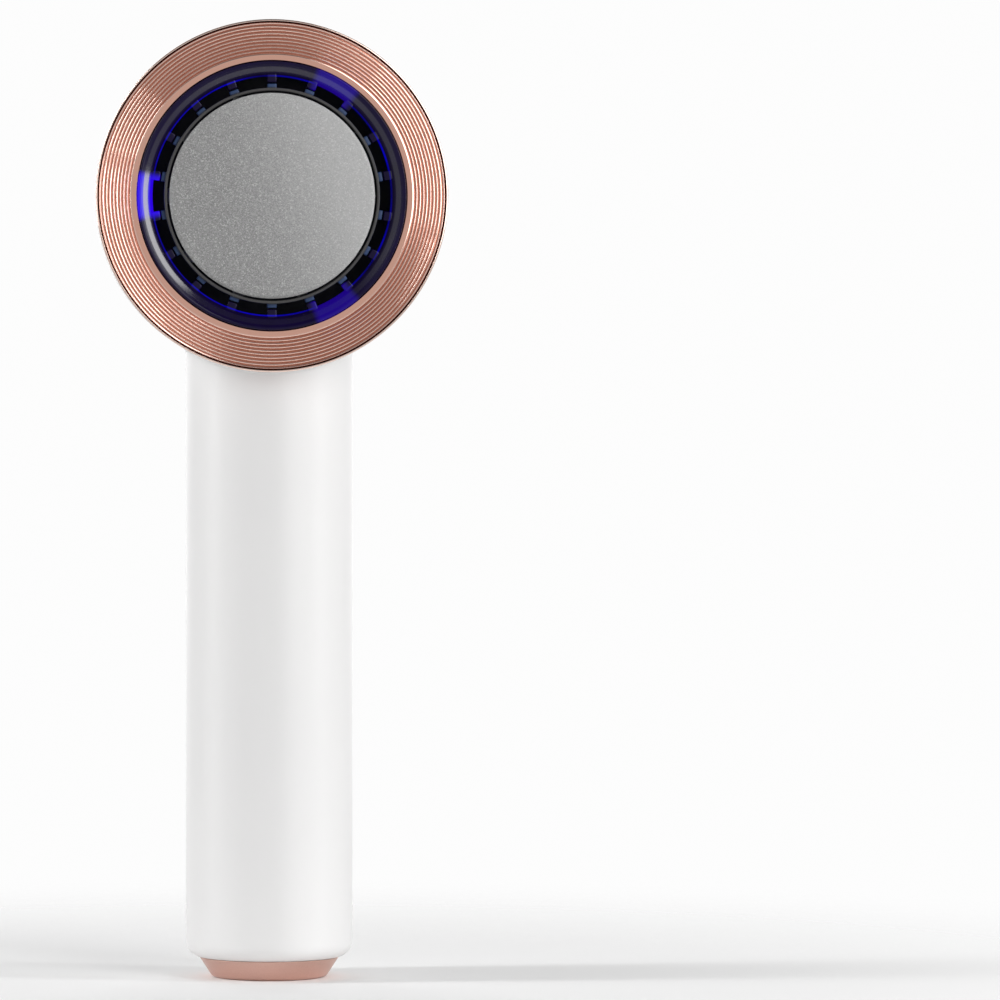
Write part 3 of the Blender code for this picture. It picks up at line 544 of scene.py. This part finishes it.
def trim_outline():
    """A rounded lip, a wave of grooves, a rounded inner edge, and the skirt behind.

    The wave is arccos(p cos(phase)), brought to run from 0 on a crest to 1 in a bottom. With a
    pointedness p of 1 it would be a triangle wave, and a smaller p blunts its tips.
    """
    radius = np.linspace(LIP_INNER, FIRST_GROOVE, GROOVES * POINTS_PER_GROOVE + 1)
    phase = (radius - FIRST_GROOVE) / GROOVE_PITCH * TURN
    crest = math.acos(GROOVE_POINTEDNESS)
    wave = (np.arccos(GROOVE_POINTEDNESS * np.cos(phase)) - crest) / (math.pi - 2 * crest)
    last = radius > LIP_INNER - GROOVE_PITCH * LAST_GROOVE_SHARE
    deep = np.where(last, LAST_GROOVE_DEPTH, GROOVE_DEPTH)
    face = np.stack([radius, trim_front + CREST_STEP + deep * wave], -1)
    skirt_outer = SEAT_RADIUS - SKIRT_GAP
    skirt_inner = skirt_outer - SKIRT_WALL
    lip = rounded([
        (LIP_INNER, face[0, 1], 0), (LIP_INNER + 0.03, trim_front, 0.05),
        (HEAD_RADIUS, trim_front, LIP_ROUNDING), (HEAD_RADIUS, trim_back, 0.2),
    ], steps=10, closed=False)[::-1]
    start = np.array([[HEAD_RADIUS, trim_back]])
    edge = rounded([
        (FIRST_GROOVE, trim_front + CREST_STEP, 0), (FIRST_GROOVE - 0.15, trim_front, 0.1),
        (TRIM_INNER, trim_front, INNER_ROUNDING), (TRIM_INNER, trim_back, 0.1),
    ], steps=10, closed=False)
    skirt = [(skirt_inner, trim_back), (skirt_inner, trim_rear), (skirt_outer, trim_rear)]
    back = np.array(skirt + [(skirt_outer, trim_back)])
    return np.concatenate([start, lip, face, edge, back])


trim = make_piece("trim_ring_skin", [turned(trim_outline(), 360)], "collar", sharp=60)
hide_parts("trim_ring")

# %% Clear suction ring with its spokes
SLOTS = 18
BEAD_INNER = 24.3
BEAD_OUTER = 27.3
CONE_OUTER = 26.85
CONE_DEPTH = 1.9
RING_RECESS = 0.35
SPOKE_HALF_WIDTH = 0.98
SPOKE_INNER = 23.05
SPOKE_RECESS = 1.8
SPOKE_REAR_GAP = 0.3

bead_front, bead_rear = extent("suction_ring", 1)
bead_flange = extent("suction_ring", 0)[1]


def bars_around(count, inner, outer, half_width, front, rear, power=9):
    """Blocks on spokes: a superellipsoid of a high power is a block with soft edges; copies are rotated."""
    u = np.linspace(0, TURN, 33)[:-1][:, None]
    v = np.linspace(-math.pi / 2, math.pi / 2, 15)[None]

    def soft(value):
        """A sine or cosine squared off: its sign, times its size to a small power."""
        return np.sign(value) * np.abs(value) ** (2 / power)

    along = (inner + outer) / 2 + (outer - inner) / 2 * soft(np.sin(v)) + 0 * u
    across = half_width * soft(np.cos(v)) * soft(np.cos(u))
    depth = (front + rear) / 2 + (rear - front) / 2 * soft(np.cos(v)) * soft(np.sin(u))
    turn = (math.pi / 2 + np.arange(count) * TURN / count)[:, None, None]
    x = along * np.cos(turn) - across * np.sin(turn)
    z = HEAD_HEIGHT + along * np.sin(turn) + across * np.cos(turn)
    points = np.stack([x, np.broadcast_to(depth, x.shape), z], -1)
    faces = cells(points.shape[1], points.shape[2])
    size = points.shape[1] * points.shape[2]
    every = faces[None] + (np.arange(count) * size)[:, None, None]
    return points.reshape(-1, 3), every.reshape(-1, 4)


ring_front = bead_front + RING_RECESS
bead_outline = rounded([
    (BEAD_INNER, ring_front + CONE_DEPTH, 0.3), (CONE_OUTER, ring_front, 0.8),
    (BEAD_OUTER, ring_front, 0.15), (BEAD_OUTER, drum_front, 0),
    (bead_flange, drum_front, 0.1), (bead_flange, bead_rear, 0.1), (BEAD_INNER, bead_rear, 0.1),
], steps=20)
spoke_front = bead_front + SPOKE_RECESS
spoke_rear = bead_rear - SPOKE_REAR_GAP
spokes = bars_around(SLOTS, SPOKE_INNER, BEAD_INNER + 0.6, SPOKE_HALF_WIDTH, spoke_front, spoke_rear)
bead = make_piece("suction_ring_skin", [turned(bead_outline, 360), spokes], "collar")
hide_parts("suction_ring")

# %% Guard ring with its pads
GUARD_INNER = 21.35
GUARD_OUTER = 21.95
PAD_OUTER = 22.8

guard_front, guard_rear = extent("guard_ring", 1)
guard_outline = rounded([
    (GUARD_INNER, guard_front, 0.2), (GUARD_OUTER, guard_front, 0.2), (GUARD_OUTER, guard_rear, 0.1),
    (GUARD_INNER, guard_rear, 0.1),
], steps=5)
pads = bars_around(SLOTS, GUARD_OUTER - 0.3, PAD_OUTER, SPOKE_HALF_WIDTH, spoke_front, spoke_rear)
guard = make_piece("guard_ring_skin", [turned(guard_outline, 360), pads], "collar")
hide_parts("guard_ring")

# %% [markdown]
# ## The abrasive disc
# The working face is grit bonded to a plate. Grains are real geometry here: a square grid is
# bent into a disc so that its cells stay nearly the same size, and each point is raised by a
# small random height, with a few grains standing higher. A bump alone would leave the mesh flat.
# The random numbers are seeded, so the same grains come out each time.

# %% Grit disc
GRIT_CELLS = 290
GRAIN_HEIGHT = 0.02
TALL_GRAIN_HEIGHT = 0.045
TALL_GRAIN_SHARE = 0.05
GRIT_LEVEL = 0.12
DISC_EDGE_DROP = 0.35

pad_front, pad_rear = extent("abrasive_pad", 1)


def disc_grid(count):
    """A square grid bent into a unit disc: each square ring of the grid becomes a circle of that size."""
    side = np.linspace(-1, 1, count + 1)
    u, v = np.meshgrid(side, side, indexing="ij")
    size = np.maximum(np.abs(u), np.abs(v))
    wide = np.abs(u) >= np.abs(v)
    across = np.where(wide, v / np.where(u == 0, 1, u), u / np.where(v == 0, 1, v))
    small = across * math.pi / 4
    x = np.where(wide, np.sign(u) * size * np.cos(small), np.sign(v) * size * np.sin(small))
    z = np.where(wide, np.sign(u) * size * np.sin(small), np.sign(v) * size * np.cos(small))
    return x, z


def grit_patches():
    """Random heights on the bent grid, fading out at the edge, and a skirt of points down to a flat back."""
    x, z = disc_grid(GRIT_CELLS)
    random = np.random.default_rng(7)
    height = GRAIN_HEIGHT * random.random(x.shape)
    height += TALL_GRAIN_HEIGHT * random.random(x.shape) * (random.random(x.shape) < TALL_GRAIN_SHARE)
    radius = np.hypot(x, z)
    height *= 1 - step_between(radius, 0.985, 0.998)
    rounding = DISC_EDGE_DROP * step_between(radius, 0.975, 1.0)
    depth = pad_front + GRIT_LEVEL - height + rounding
    face = np.stack([x * DISC_RADIUS, depth, HEAD_HEIGHT + z * DISC_RADIUS], -1)
    rim = np.concatenate([face[:-1, 0], face[-1, :-1], face[:0:-1, -1], face[0, :0:-1]])
    low = rim * [1, 0, 1] + [0, pad_rear, 0]
    middle = np.broadcast_to([0, pad_rear, HEAD_HEIGHT], rim.shape)
    skirt = np.stack([rim, low, middle], 1)
    return [surface(face, round_rows=False), surface(skirt)]


grit = make_piece("grit_disc", grit_patches(), "disc", sharp=180)
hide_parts("abrasive_pad")

# %% [markdown]
# ## The foot and its charging inlet
# The foot is a shallow cone with rounded edges. The inlet in its floor is a slot with round
# ends. To join a round rim to that slot, the floor is a ruled surface: each point lies on the
# straight line between a point of the slot and the point of the rim at the same angle.

# %% Foot
FOOT_LIP = 13.5
FOOT_WALL = 1.1
FOOT_BOTTOM = 11.7
FOOT_ROUNDING = 1.5
FOOT_FLOOR = 2.0
FOOT_GAP = 0.04
SLOT_WIDTH = 9.5
SLOT_THICKNESS = 3.9

foot_floor, foot_top = extent("foot_cap", 2)
foot_radius = extent("foot_cap", 0)[1]
cone_top = shell_floor - FOOT_GAP


def slot_outline(width, thickness, steps):
    """A slot with round ends: a circle's point, pushed out sideways by half the straight length.

    The push changes side across the middle as a steep tanh.
    """
    angle = np.arange(steps) * TURN / steps
    straight = (width - thickness) / 2
    x = thickness / 2 * np.cos(angle) + straight * np.tanh(6 * np.cos(angle))
    return np.stack([x, thickness / 2 * np.sin(angle)], -1)


def ruled(first, second, steps=2):
    """Points on the straight lines between two outlines."""
    t = np.linspace(0, 1, steps)[None, :, None]
    return first[:, None] * (1 - t) + second[:, None] * t


def at_height(outline, height):
    """An outline of (x, y) points, laid flat at one height."""
    return np.concatenate([outline, np.full((len(outline), 1), height)], 1)


def foot_patches(steps=240):
    """The slot's wall, the ruled floor, and a turned outline from the floor up to the skirt and back."""
    slot = slot_outline(SLOT_WIDTH, SLOT_THICKNESS, steps)
    flat = FOOT_BOTTOM - FOOT_ROUNDING
    angle = np.arange(steps) * TURN / steps
    circle = np.stack([np.cos(angle), np.sin(angle)], -1)
    inner = FOOT_LIP - FOOT_WALL
    side = rounded([
        (flat - 0.2, foot_floor, 0), (FOOT_BOTTOM, foot_floor, FOOT_ROUNDING),
        (foot_radius, cone_top, 0.06), (FOOT_LIP, cone_top, 0), (FOOT_LIP, foot_top, 0.2),
        (inner, foot_top, 0.2), (inner, FOOT_FLOOR, 0), (inner - 1, FOOT_FLOOR, 0),
    ], steps=8, closed=False)
    below = ruled(at_height(slot, foot_floor), at_height(circle * side[0, 0], foot_floor), 8)
    above = ruled(at_height(circle * side[-1, 0], FOOT_FLOOR), at_height(slot, FOOT_FLOOR), 4)
    wall = ruled(at_height(slot, FOOT_FLOOR), at_height(slot, foot_floor), 3)
    return [surface(below), turned(side, steps, around_handle, closed=False), surface(above), surface(wall)]


foot = make_piece("foot_skin", foot_patches(), "housing")
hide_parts("foot_cap")

# %% Charging socket
SOCKET_WALL = 0.35
SOCKET_ROOF = 1.0

socket_low, socket_high = extent("charge_socket", 2)
socket_width = 2 * extent("charge_socket", 0)[1]
socket_thickness = 2 * extent("charge_socket", 1)[1]


def socket_patch(steps=96):
    """A flattened tube, closed at the top: outside up, across, and back down the inside."""
    outer = slot_outline(socket_width, socket_thickness, steps)
    inner = slot_outline(socket_width - 2 * SOCKET_WALL, socket_thickness - 2 * SOCKET_WALL, steps)
    roof = socket_high - SOCKET_ROOF
    stations = [
        (inner, socket_low), (outer, socket_low), (outer, socket_high), (outer * 0, socket_high),
        (inner * 0, roof), (inner, roof), (inner, socket_low),
    ]
    return surface(np.stack([at_height(outline, height) for outline, height in stations], 1))


socket = make_piece("charge_socket_skin", [socket_patch()], "housing")
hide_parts("charge_socket")

# %% [markdown]
# ## White moulded shell
# The shell is satin white plastic. Up close such a moulding isn't a perfect plane: it has an
# orange-peel ripple about a millimetre long and a few thousandths deep, its gloss varies where
# hands polish it, and its white drifts very slightly. Each of those is a noise of its own size,
# read from the object's own coordinates, so that nothing has to be unwrapped.
# The vents are nearly as deep as the wall is thick, so a mask paints near-black shade on what lies below the
# surface, as the shade inside the vents.

# %% White plastic
VENT_BAND = 20.0


def white_finish(name):
    """Near-white base, drifted by wide noise; roughness from mid-size noise; ripple as bump."""
    finish = Finish(name, IOR=1.58)
    drift = finish.noise(38, 2)
    finish.set(Base_Color=finish.blend(drift, (0.79, 0.785, 0.785), (0.83, 0.825, 0.82)))
    finish.set(Roughness=finish.noise(9, 4) * 0.08 + 0.38)
    finish.bump(finish.noise(1.3, 2) + finish.noise(0.25, 1) * 0.15, 0.006)
    return finish


def white_with_painted_vent_shade(name):
    """White plastic with painted shade: near black inside the drum's radius in the band of heights that
    holds the vents.
    """
    finish = white_finish(name)
    _, _, above, radius = finish.about_head()
    inside = 1 - radius.smooth((HEAD_RADIUS - 1.5) * MM, (HEAD_RADIUS - 0.5) * MM)
    # Painted shade: this mask marks where the vents' insides are painted near black.
    near = (above * above < (VENT_BAND * MM) ** 2) * inside
    white = Wire(finish, finish.shader.inputs["Base Color"].links[0].from_socket)
    finish.set(Base_Color=finish.blend(near, white, (0.02, 0.02, 0.022)))
    return finish


wear(shell, white_with_painted_vent_shade("gloss white moulding"))
wear(cover, white_finish("gloss white cover"))
print("white pieces finished")

# %% [markdown]
# ## Rose-gold trim, button and foot
# These are plastic, plated or lacquered with a metallic coat. The grooved ring is plated, so it
# is close to a mirror, and its grooves do the work. The button and the foot are satin: the metal
# flake in the lacquer is a fine speckle that changes both the gloss and the slope a little.

# %% Rose-gold finishes
def satin_rose_finish(name):
    """Metallic lacquer: a speckle of flakes a fifth of a millimetre across over a slow drift of colour."""
    finish = Finish(name, Metallic=0.85, Coat_Weight=0.15, Coat_Roughness=0.25)
    flake = finish.speckle(0.22)
    drift = finish.noise(14, 3)
    rose = finish.blend(drift, (0.62, 0.39, 0.33), (0.67, 0.43, 0.36))
    finish.set(Base_Color=finish.blend(flake * 0.16, rose, (0.86, 0.62, 0.55)))
    finish.set(Roughness=flake * 0.08 + drift * 0.06 + 0.3)
    finish.bump(flake + finish.noise(0.9, 2) * 2, 0.0025)
    return finish


def plated_rose_finish(name):
    """Plating: near-mirror and rougher in the bottoms of the grooves, which are painted redder and darker as
    shade, darkest in the deeper last groove.
    """
    finish = Finish(name, Metallic=1.0)
    _, y, _, radius = finish.about_head()
    face = radius.smooth((FIRST_GROOVE - 0.3) * MM, (FIRST_GROOVE + 0.1) * MM)
    face = face * (1 - radius.smooth((LIP_INNER + 0.02) * MM, (LIP_INNER + 0.06) * MM))
    # Painted shade: the groove bottoms are coloured redder and darker; the same mask makes them rougher.
    low = face * y.smooth((trim_front + 0.13) * MM, (trim_front + CREST_STEP + GROOVE_DEPTH * 0.9) * MM)
    # Painted highlight: the front of the outer lip is coloured paler.
    outer = (radius > (LIP_INNER + 0.05) * MM) * (y < (trim_front + 0.35) * MM)
    painted_deepest_shade = y.smooth((trim_front + 0.3) * MM, (trim_front + LAST_GROOVE_DEPTH) * MM) * face
    crest = finish.blend(finish.noise(6, 3), (0.98, 0.66, 0.56), (0.99, 0.71, 0.62))
    land = finish.blend(face, (0.95, 0.54, 0.42), crest)
    lip = finish.blend(outer, land, (0.98, 0.76, 0.67))
    # Painted shade: the colour of the groove bottoms, near black in the last groove.
    bottom = finish.blend(painted_deepest_shade, (0.5, 0.2, 0.135), (0.10, 0.04, 0.028))
    finish.set(Base_Color=finish.blend(low, lip, bottom))
    side = radius > (HEAD_RADIUS - 0.05) * MM
    finish.set(Roughness=low * 0.15 + side * 0.2 + finish.noise(2.5, 3) * 0.05 + 0.1)
    return finish


wear(trim, plated_rose_finish("rose plating"))
wear(button, satin_rose_finish("rose satin button"))
wear(foot, satin_rose_finish("rose satin foot"))
print("rose-gold pieces finished")

# %% [markdown]
# ## The clear blue ring and the grey guard
# The suction ring is dark tinted clear plastic that carries light from three lamps behind it.
# Real refraction through so small a ring costs much light for little gain, so it is drawn as a
# dark glossy body that glows over the lamps. The lamps stand a third of a turn apart, so the
# glow is where the cosine of three times the angle round the ring is near its lowest.

# %% Ring and guard finishes
BRIGHT_LAMP_SIDE = -18.0


def glow_ring_finish(name):
    """Near-black cobalt gloss; emission where minus cos(3 x angle round the head) is close to one.

    The clear coat lies on the middle band only, and the lamp on the left is brighter than the others.
    """
    finish = Finish(name, Roughness=0.2, IOR=1.3, Emission_Strength=1.0, Coat_Roughness=0.1, Coat_IOR=1.53)
    x, _, above, radius = finish.about_head()
    angle = x.maths("ARCTAN2", above, x)
    over_lamp = (0 - (angle * 3).apply("COSINE")).smooth(0.82, 0.92)
    rim = radius.smooth((BEAD_INNER - 0.1) * MM, BEAD_INNER * MM)
    rim = rim * (1 - radius.smooth((BEAD_INNER + 0.12) * MM, (BEAD_INNER + 0.35) * MM))
    cloud = finish.noise(2.2, 3)
    finish.set(Base_Color=finish.blend(cloud, (0.003, 0.001, 0.014), (0.006, 0.002, 0.032)))
    around = finish.noise(9, 1) * 1.6 - 0.3
    band = radius.smooth((BEAD_INNER + 0.8) * MM, (BEAD_INNER + 1.1) * MM)
    band = band * (1 - radius.smooth((BEAD_OUTER - 1.2) * MM, (BEAD_OUTER - 0.9) * MM))
    finish.set(Coat_Weight=band)
    inner_glow = finish.blend(rim * around, (0.0003, 0.0, 0.003), (0.0, 0.0, 0.5))
    lit = finish.blend((x < BRIGHT_LAMP_SIDE * MM) * (1 - band), (0.008, 0.0, 0.19), (0.022, 0.0, 0.75))
    finish.set(Emission_Color=finish.blend(over_lamp, inner_glow, lit))
    finish.bump(finish.noise(0.8, 2), 0.002)
    return finish


def guard_finish(name):
    """Dark grey plastic with a fine spark-eroded grain; the pads outside the ring are painted blue as the
    blue light that falls on them.
    """
    finish = Finish(name, IOR=1.48)
    *_, radius = finish.about_head()
    painted_light_pads = radius.smooth((GUARD_OUTER - 0.1) * MM, (GUARD_OUTER + 0.3) * MM)
    grain = finish.speckle(0.18)
    grey = finish.blend(finish.noise(5, 2), (0.04, 0.039, 0.04), (0.055, 0.053, 0.053))
    # Painted light: blue is painted on the pads, as the ring's light on them.
    finish.set(Base_Color=finish.blend(painted_light_pads, grey, (0.02, 0.05, 0.14)))
    finish.set(Roughness=grain * 0.12 + 0.42)
    finish.bump(grain, 0.004)
    return finish


wear(bead, glow_ring_finish("cobalt clear ring"))
wear(guard, guard_finish("grey guard"))
print("ring and guard finished")

# %% [markdown]
# ## Grit
# Seen close, an abrasive face is a crowd of grains: most are mid grey, some are dark, and a few
# have a flat that throws light back. A Voronoi cell gives each grain its own random number, and
# that number picks the grey. The few highest numbers become smoother and are painted brighter,
# a painted glint. The grey is also painted lighter towards the upper right, as painted light.

# %% Abrasive finish
def grit_finish(name):
    """Each cell's random number sets its grey; the top few become smoother flats with a painted glint, a
    brighter colour; the upper right is painted lighter.
    """
    finish = Finish(name, IOR=1.5)
    fine = finish.speckle(0.16)
    coarse = finish.speckle(0.21)
    grey = finish.blend(fine, (0.20, 0.20, 0.20), (0.36, 0.36, 0.358))
    x, _, above, _ = finish.about_head()
    # Painted light: the grey is painted lighter towards the upper right, as if lit from that side.
    toward_lit_side = (x * 0.95 + above * 0.3).smooth(-DISC_RADIUS * MM, DISC_RADIUS * MM)
    painted_side_light = finish.blend(toward_lit_side * toward_lit_side * 0.42, grey, (0.72, 0.72, 0.72))
    # Painted highlight: the top few cells get a brighter colour as glints, and a lower roughness.
    spark = (coarse > 0.91) * 0.3
    finish.set(Base_Color=finish.blend(spark, painted_side_light, (0.75, 0.75, 0.74)))
    finish.set(Roughness=0.8 - spark)
    finish.bump(fine + coarse, 0.02)
    return finish


wear(grit, grit_finish("bonded grit"))
print("grit finished")

# %% [markdown]
# ## Everything inside
# The pieces inside keep the frame's own meshes, whose shapes are right. Each takes a finish by
# what it is made of: turned steel with fine rings, copper, green board with a weave and tracks,
# felt with fibres, matt black nylon, rubber and smoked clear plastic.

# %% Metals
TOOL_MARK_PITCH = 0.4


def steel_finish(name, light, dark, rough=0.26):
    """Metal: fine noise as tool marks, with roughness that follows them."""
    finish = Finish(name, Metallic=1.0)
    marks = finish.noise(0.5, 4, 0.7)
    finish.set(Base_Color=finish.blend(finish.noise(7, 3), light, dark))
    finish.set(Roughness=marks * 0.16 + rough)
    finish.bump(marks, 0.004)
    return finish


def turned_metal_finish(name, light, dark):
    """Metal turned on a lathe: fine rings, as a sine of the distance from the head's axis."""
    finish = steel_finish(name, light, dark)
    *_, radius = finish.about_head()
    rings = (radius * (TURN / (TOOL_MARK_PITCH * MM))).apply("SINE")
    finish.bump(rings, 0.003)
    return finish


print("metals ready")


# %% Plastics, rubber, felt and board
TRACK_SPACING = 1.7


def grained_finish(name, light, dark, rough, grain_size=0.3, depth=0.01, **constants):
    """Plastic or rubber: two close colours mixed by noise and a grain as bump."""
    finish = Finish(name, **constants)
    grain = finish.speckle(grain_size)
    finish.set(Base_Color=finish.blend(finish.noise(8, 3), light, dark))
    finish.set(Roughness=grain * 0.1 + rough)
    finish.bump(grain, depth)
    return finish


def felt_finish(name):
    """Felt: noise at two fine sizes as fibres, with a little sheen."""
    finish = Finish(name, Roughness=0.95, Sheen_Weight=0.4)
    fibres = finish.noise(0.35, 6, 0.75)
    finish.set(Base_Color=finish.blend(fibres, (0.30, 0.31, 0.33), (0.66, 0.66, 0.66)))
    finish.bump(fibres + finish.noise(1.5, 3), 0.12)
    return finish


def board_finish(name):
    """Board: tracks where a cell pattern's edges run, in a lighter green, over a glass weave."""
    finish = Finish(name, IOR=1.5, Coat_Weight=0.3)
    values = {"Vector": finish.place, "Scale": 1000 / TRACK_SPACING}
    edge = finish.add("ShaderNodeTexVoronoi", {"feature": "DISTANCE_TO_EDGE"}, values, "Distance")
    track = 1 - edge.smooth(0.08, 0.12)
    weave = finish.noise(0.6, 2)
    finish.set(Base_Color=finish.blend(track, (0.008, 0.075, 0.032), (0.012, 0.10, 0.042)))
    finish.set(Roughness=weave * 0.1 + 0.3)
    finish.bump(track + weave * 0.3, 0.03)
    return finish


def lamp_finish(name):
    """A lamp that is on: a blue emitter with a paler centre cloud."""
    finish = Finish(name, Roughness=0.3, Emission_Strength=6.0)
    cloud = finish.noise(0.8, 2)
    finish.set(Base_Color=finish.blend(cloud, (0.6, 0.65, 0.8), (0.8, 0.83, 0.9)))
    finish.set(Emission_Color=finish.blend(cloud, (0.01, 0.01, 0.8), (0.05, 0.06, 1.0)))
    return finish


def smoked_finish(name):
    """Smoked clear plastic: lets part of the light through, evenly, with scratches in its gloss."""
    finish = Finish(name, IOR=1.35)
    finish.set(Base_Color=finish.blend(finish.noise(12, 2), (0.006, 0.006, 0.009), (0.011, 0.011, 0.015)))
    finish.set(Roughness=finish.noise(0.7, 5, 0.8) * 0.2 + 0.4)
    finish.set(Alpha=finish.noise(9, 2) * 0.06 + 0.9)
    return finish


print("other finishes ready")

# %% Give every remaining frame piece its finish
finishes = {
    "shell_white": white_finish("white nylon inside"),
    "rose_gold": satin_rose_finish("rose satin inside"),
    "clear_blue": glow_ring_finish("cobalt inside"),
    "dark_grey": guard_finish("grey plastic"),
    "grit": grit_finish("grit inside"),
    "black_plastic": grained_finish("black nylon", (0.018, 0.018, 0.02), (0.03, 0.03, 0.032), 0.45),
    "black_rubber": grained_finish("black rubber", (0.015, 0.015, 0.015), (0.024, 0.024, 0.023), 0.7, 0.15),
    "steel": turned_metal_finish("bright steel", (0.56, 0.56, 0.57), (0.64, 0.64, 0.64)),
    "circuit_board": board_finish("green board"),
    "felt": felt_finish("filter felt"),
    "smoked_plastic": smoked_finish("smoked clear plastic"),
    "led": lamp_finish("blue lamp"),
    "copper": steel_finish("wound copper", (0.72, 0.32, 0.17), (0.58, 0.23, 0.11), 0.3),
    "bronze": steel_finish("sintered bronze", (0.50, 0.33, 0.16), (0.42, 0.27, 0.13), 0.4),
    "cell_wrap": grained_finish("cell wrap", (0.03, 0.10, 0.30), (0.04, 0.13, 0.36), 0.3, 0.8, 0.004),
    "red_wire": grained_finish("red wire cover", (0.42, 0.015, 0.012), (0.5, 0.02, 0.015), 0.4),
    "black_wire": grained_finish("black wire cover", (0.012, 0.012, 0.012), (0.02, 0.02, 0.02), 0.4),
}
slot_of = {subpart["node"]: subpart["material_slot"] for subpart in frame["record"]["subparts"]}
for node, made in frame["nodes"].items():
    wear(made, finishes[slot_of[node]])
wear(socket, finishes["steel"])
print(len(frame["nodes"]), "frame pieces have finishes, from", len(finishes), "kinds")

# %% [markdown]
# ## Floor, surroundings, lights and camera
# The studio is plain: a pale floor that fades out, white surroundings and seven soft lights.
# A narrow bright strip at each side draws a line along every groove and edge. The wide boxes are
# weaker. The one in front on the right gives the handle its bright line right of the middle, and
# the high one on the left lights the grooves at the upper left. The surroundings look white to
# the camera but light the object less than that, so that the white plastic keeps its shape.
# The sizes of the lights and the camera's places are in metres.

# %% Floor that fades to nothing
FLOOR_RADIUS = 600
FADE_START = 30
FADE_END = 260


def floor_patch(steps=96):
    """Rings on the ground, from the middle out."""
    angle = np.arange(steps)[:, None] * TURN / steps
    return surface(around_handle(np.linspace(0, FLOOR_RADIUS, 24)[None], 0.0, angle))


floor = make_piece("pale_floor", [floor_patch()])
ground = Finish("pale paper floor", Roughness=0.8, Specular_IOR_Level=0.1)
x, y, _ = ground.axes()
reach = (x * x + y * y).apply("SQRT")
ground.set(Base_Color=ground.blend(ground.noise(60, 3), (0.93, 0.93, 0.93), (0.95, 0.95, 0.95)))
ground.set(Alpha=1 - reach.smooth(FADE_START * MM, FADE_END * MM))
wear(floor, ground)

# %% White surroundings
SEEN_WHITE = 0.98
BELT_LIGHT = 0.53
POLE_LIGHT = 0.1
BELT_END = 0.35
POLE_START = 0.85

world = bpy.data.worlds.new("white studio")
world.use_nodes = True
bpy.context.scene.world = world
studio = Graph(world.node_tree)
direction = studio.add("ShaderNodeTexCoord", output="Generated")
upward = studio.add("ShaderNodeSeparateXYZ", None, {"Vector": direction}, "Z")
belt = 1 - upward.smooth(BELT_END, POLE_START)
given = belt * (BELT_LIGHT - POLE_LIGHT) + POLE_LIGHT
by_camera = studio.add("ShaderNodeLightPath", output="Is Camera Ray")
background = studio.nodes["Background"]
studio.feed(background, "Color", (1.0, 1.0, 1.0))
studio.feed(background, "Strength", given + by_camera * (SEEN_WHITE - given))
print("surroundings give", BELT_LIGHT, "at the sides and", POLE_LIGHT, "overhead")


# %% Soft lights
LIGHT_DISTANCE = 1.1
LIGHT_TALL = 1.3
LIGHT_MIDDLE = 0.62
AIM_DROP = 0.1


def soft_light(name, azimuth, width, brightness, tall=LIGHT_TALL, middle=LIGHT_MIDDLE):
    """A rectangle facing the object; azimuth 0 is in front and grows to the right.

    Its power is brightness x area x pi, so that brightness is on the scale of the surroundings.
    """
    lamp = bpy.data.lights.new(name, "AREA")
    lamp.shape = "RECTANGLE"
    lamp.size = width
    lamp.size_y = tall
    lamp.energy = brightness * width * tall * math.pi
    holder = bpy.data.objects.new(name, lamp)
    turn = math.radians(azimuth)
    holder.location = (LIGHT_DISTANCE * math.sin(turn), -LIGHT_DISTANCE * math.cos(turn), middle)
    aim = Vector((0, 0, middle - AIM_DROP)) - holder.location
    holder.rotation_euler = aim.to_track_quat("-Z", "Y").to_euler()
    bpy.context.collection.objects.link(holder)


soft_light("left_box", -94, 0.45, 0.2)
soft_light("left_strip", -84, 0.12, 11.0)
soft_light("front_right_box", 34, 0.55, 2.85)
soft_light("right_strip", 72, 0.2, 6.4)
soft_light("high_left_box", -84, 0.3, 6.5, tall=0.6, middle=0.78)
soft_light("back_left_box", -160, 0.55, 1.3)
soft_light("back_right_box", 160, 0.55, 1.3)
print("floor, surroundings and seven lights")

# %% Camera
CAMERA_DISTANCE = 1.65
CAMERA_HEIGHT = 0.15
CAMERA_TURN = math.radians(-1.6)
AIM_HEIGHT = 0.0991
WIDTH_SEEN = 0.2036
SENSOR = 36.0
SIDE_SHIFT = 0.2279

camera_data = bpy.data.cameras.new("camera")
camera = bpy.data.objects.new("camera", camera_data)
bpy.context.collection.objects.link(camera)
target = Vector((0, trim_front * MM, AIM_HEIGHT))
back = Vector((math.sin(CAMERA_TURN), -math.cos(CAMERA_TURN), 0)) * CAMERA_DISTANCE
camera.location = target + back + Vector((0, 0, CAMERA_HEIGHT - AIM_HEIGHT))
aim = target - camera.location
camera.rotation_euler = aim.to_track_quat("-Z", "Y").to_euler()
camera_data.sensor_width = SENSOR
camera_data.lens = SENSOR * aim.length / WIDTH_SEEN
camera_data.shift_x = SIDE_SHIFT
camera_data.dof.use_dof = False
bpy.context.scene.camera = camera
bpy.context.scene.view_settings.view_transform = "Standard"
print("lens", round(camera_data.lens, 1), "mm")
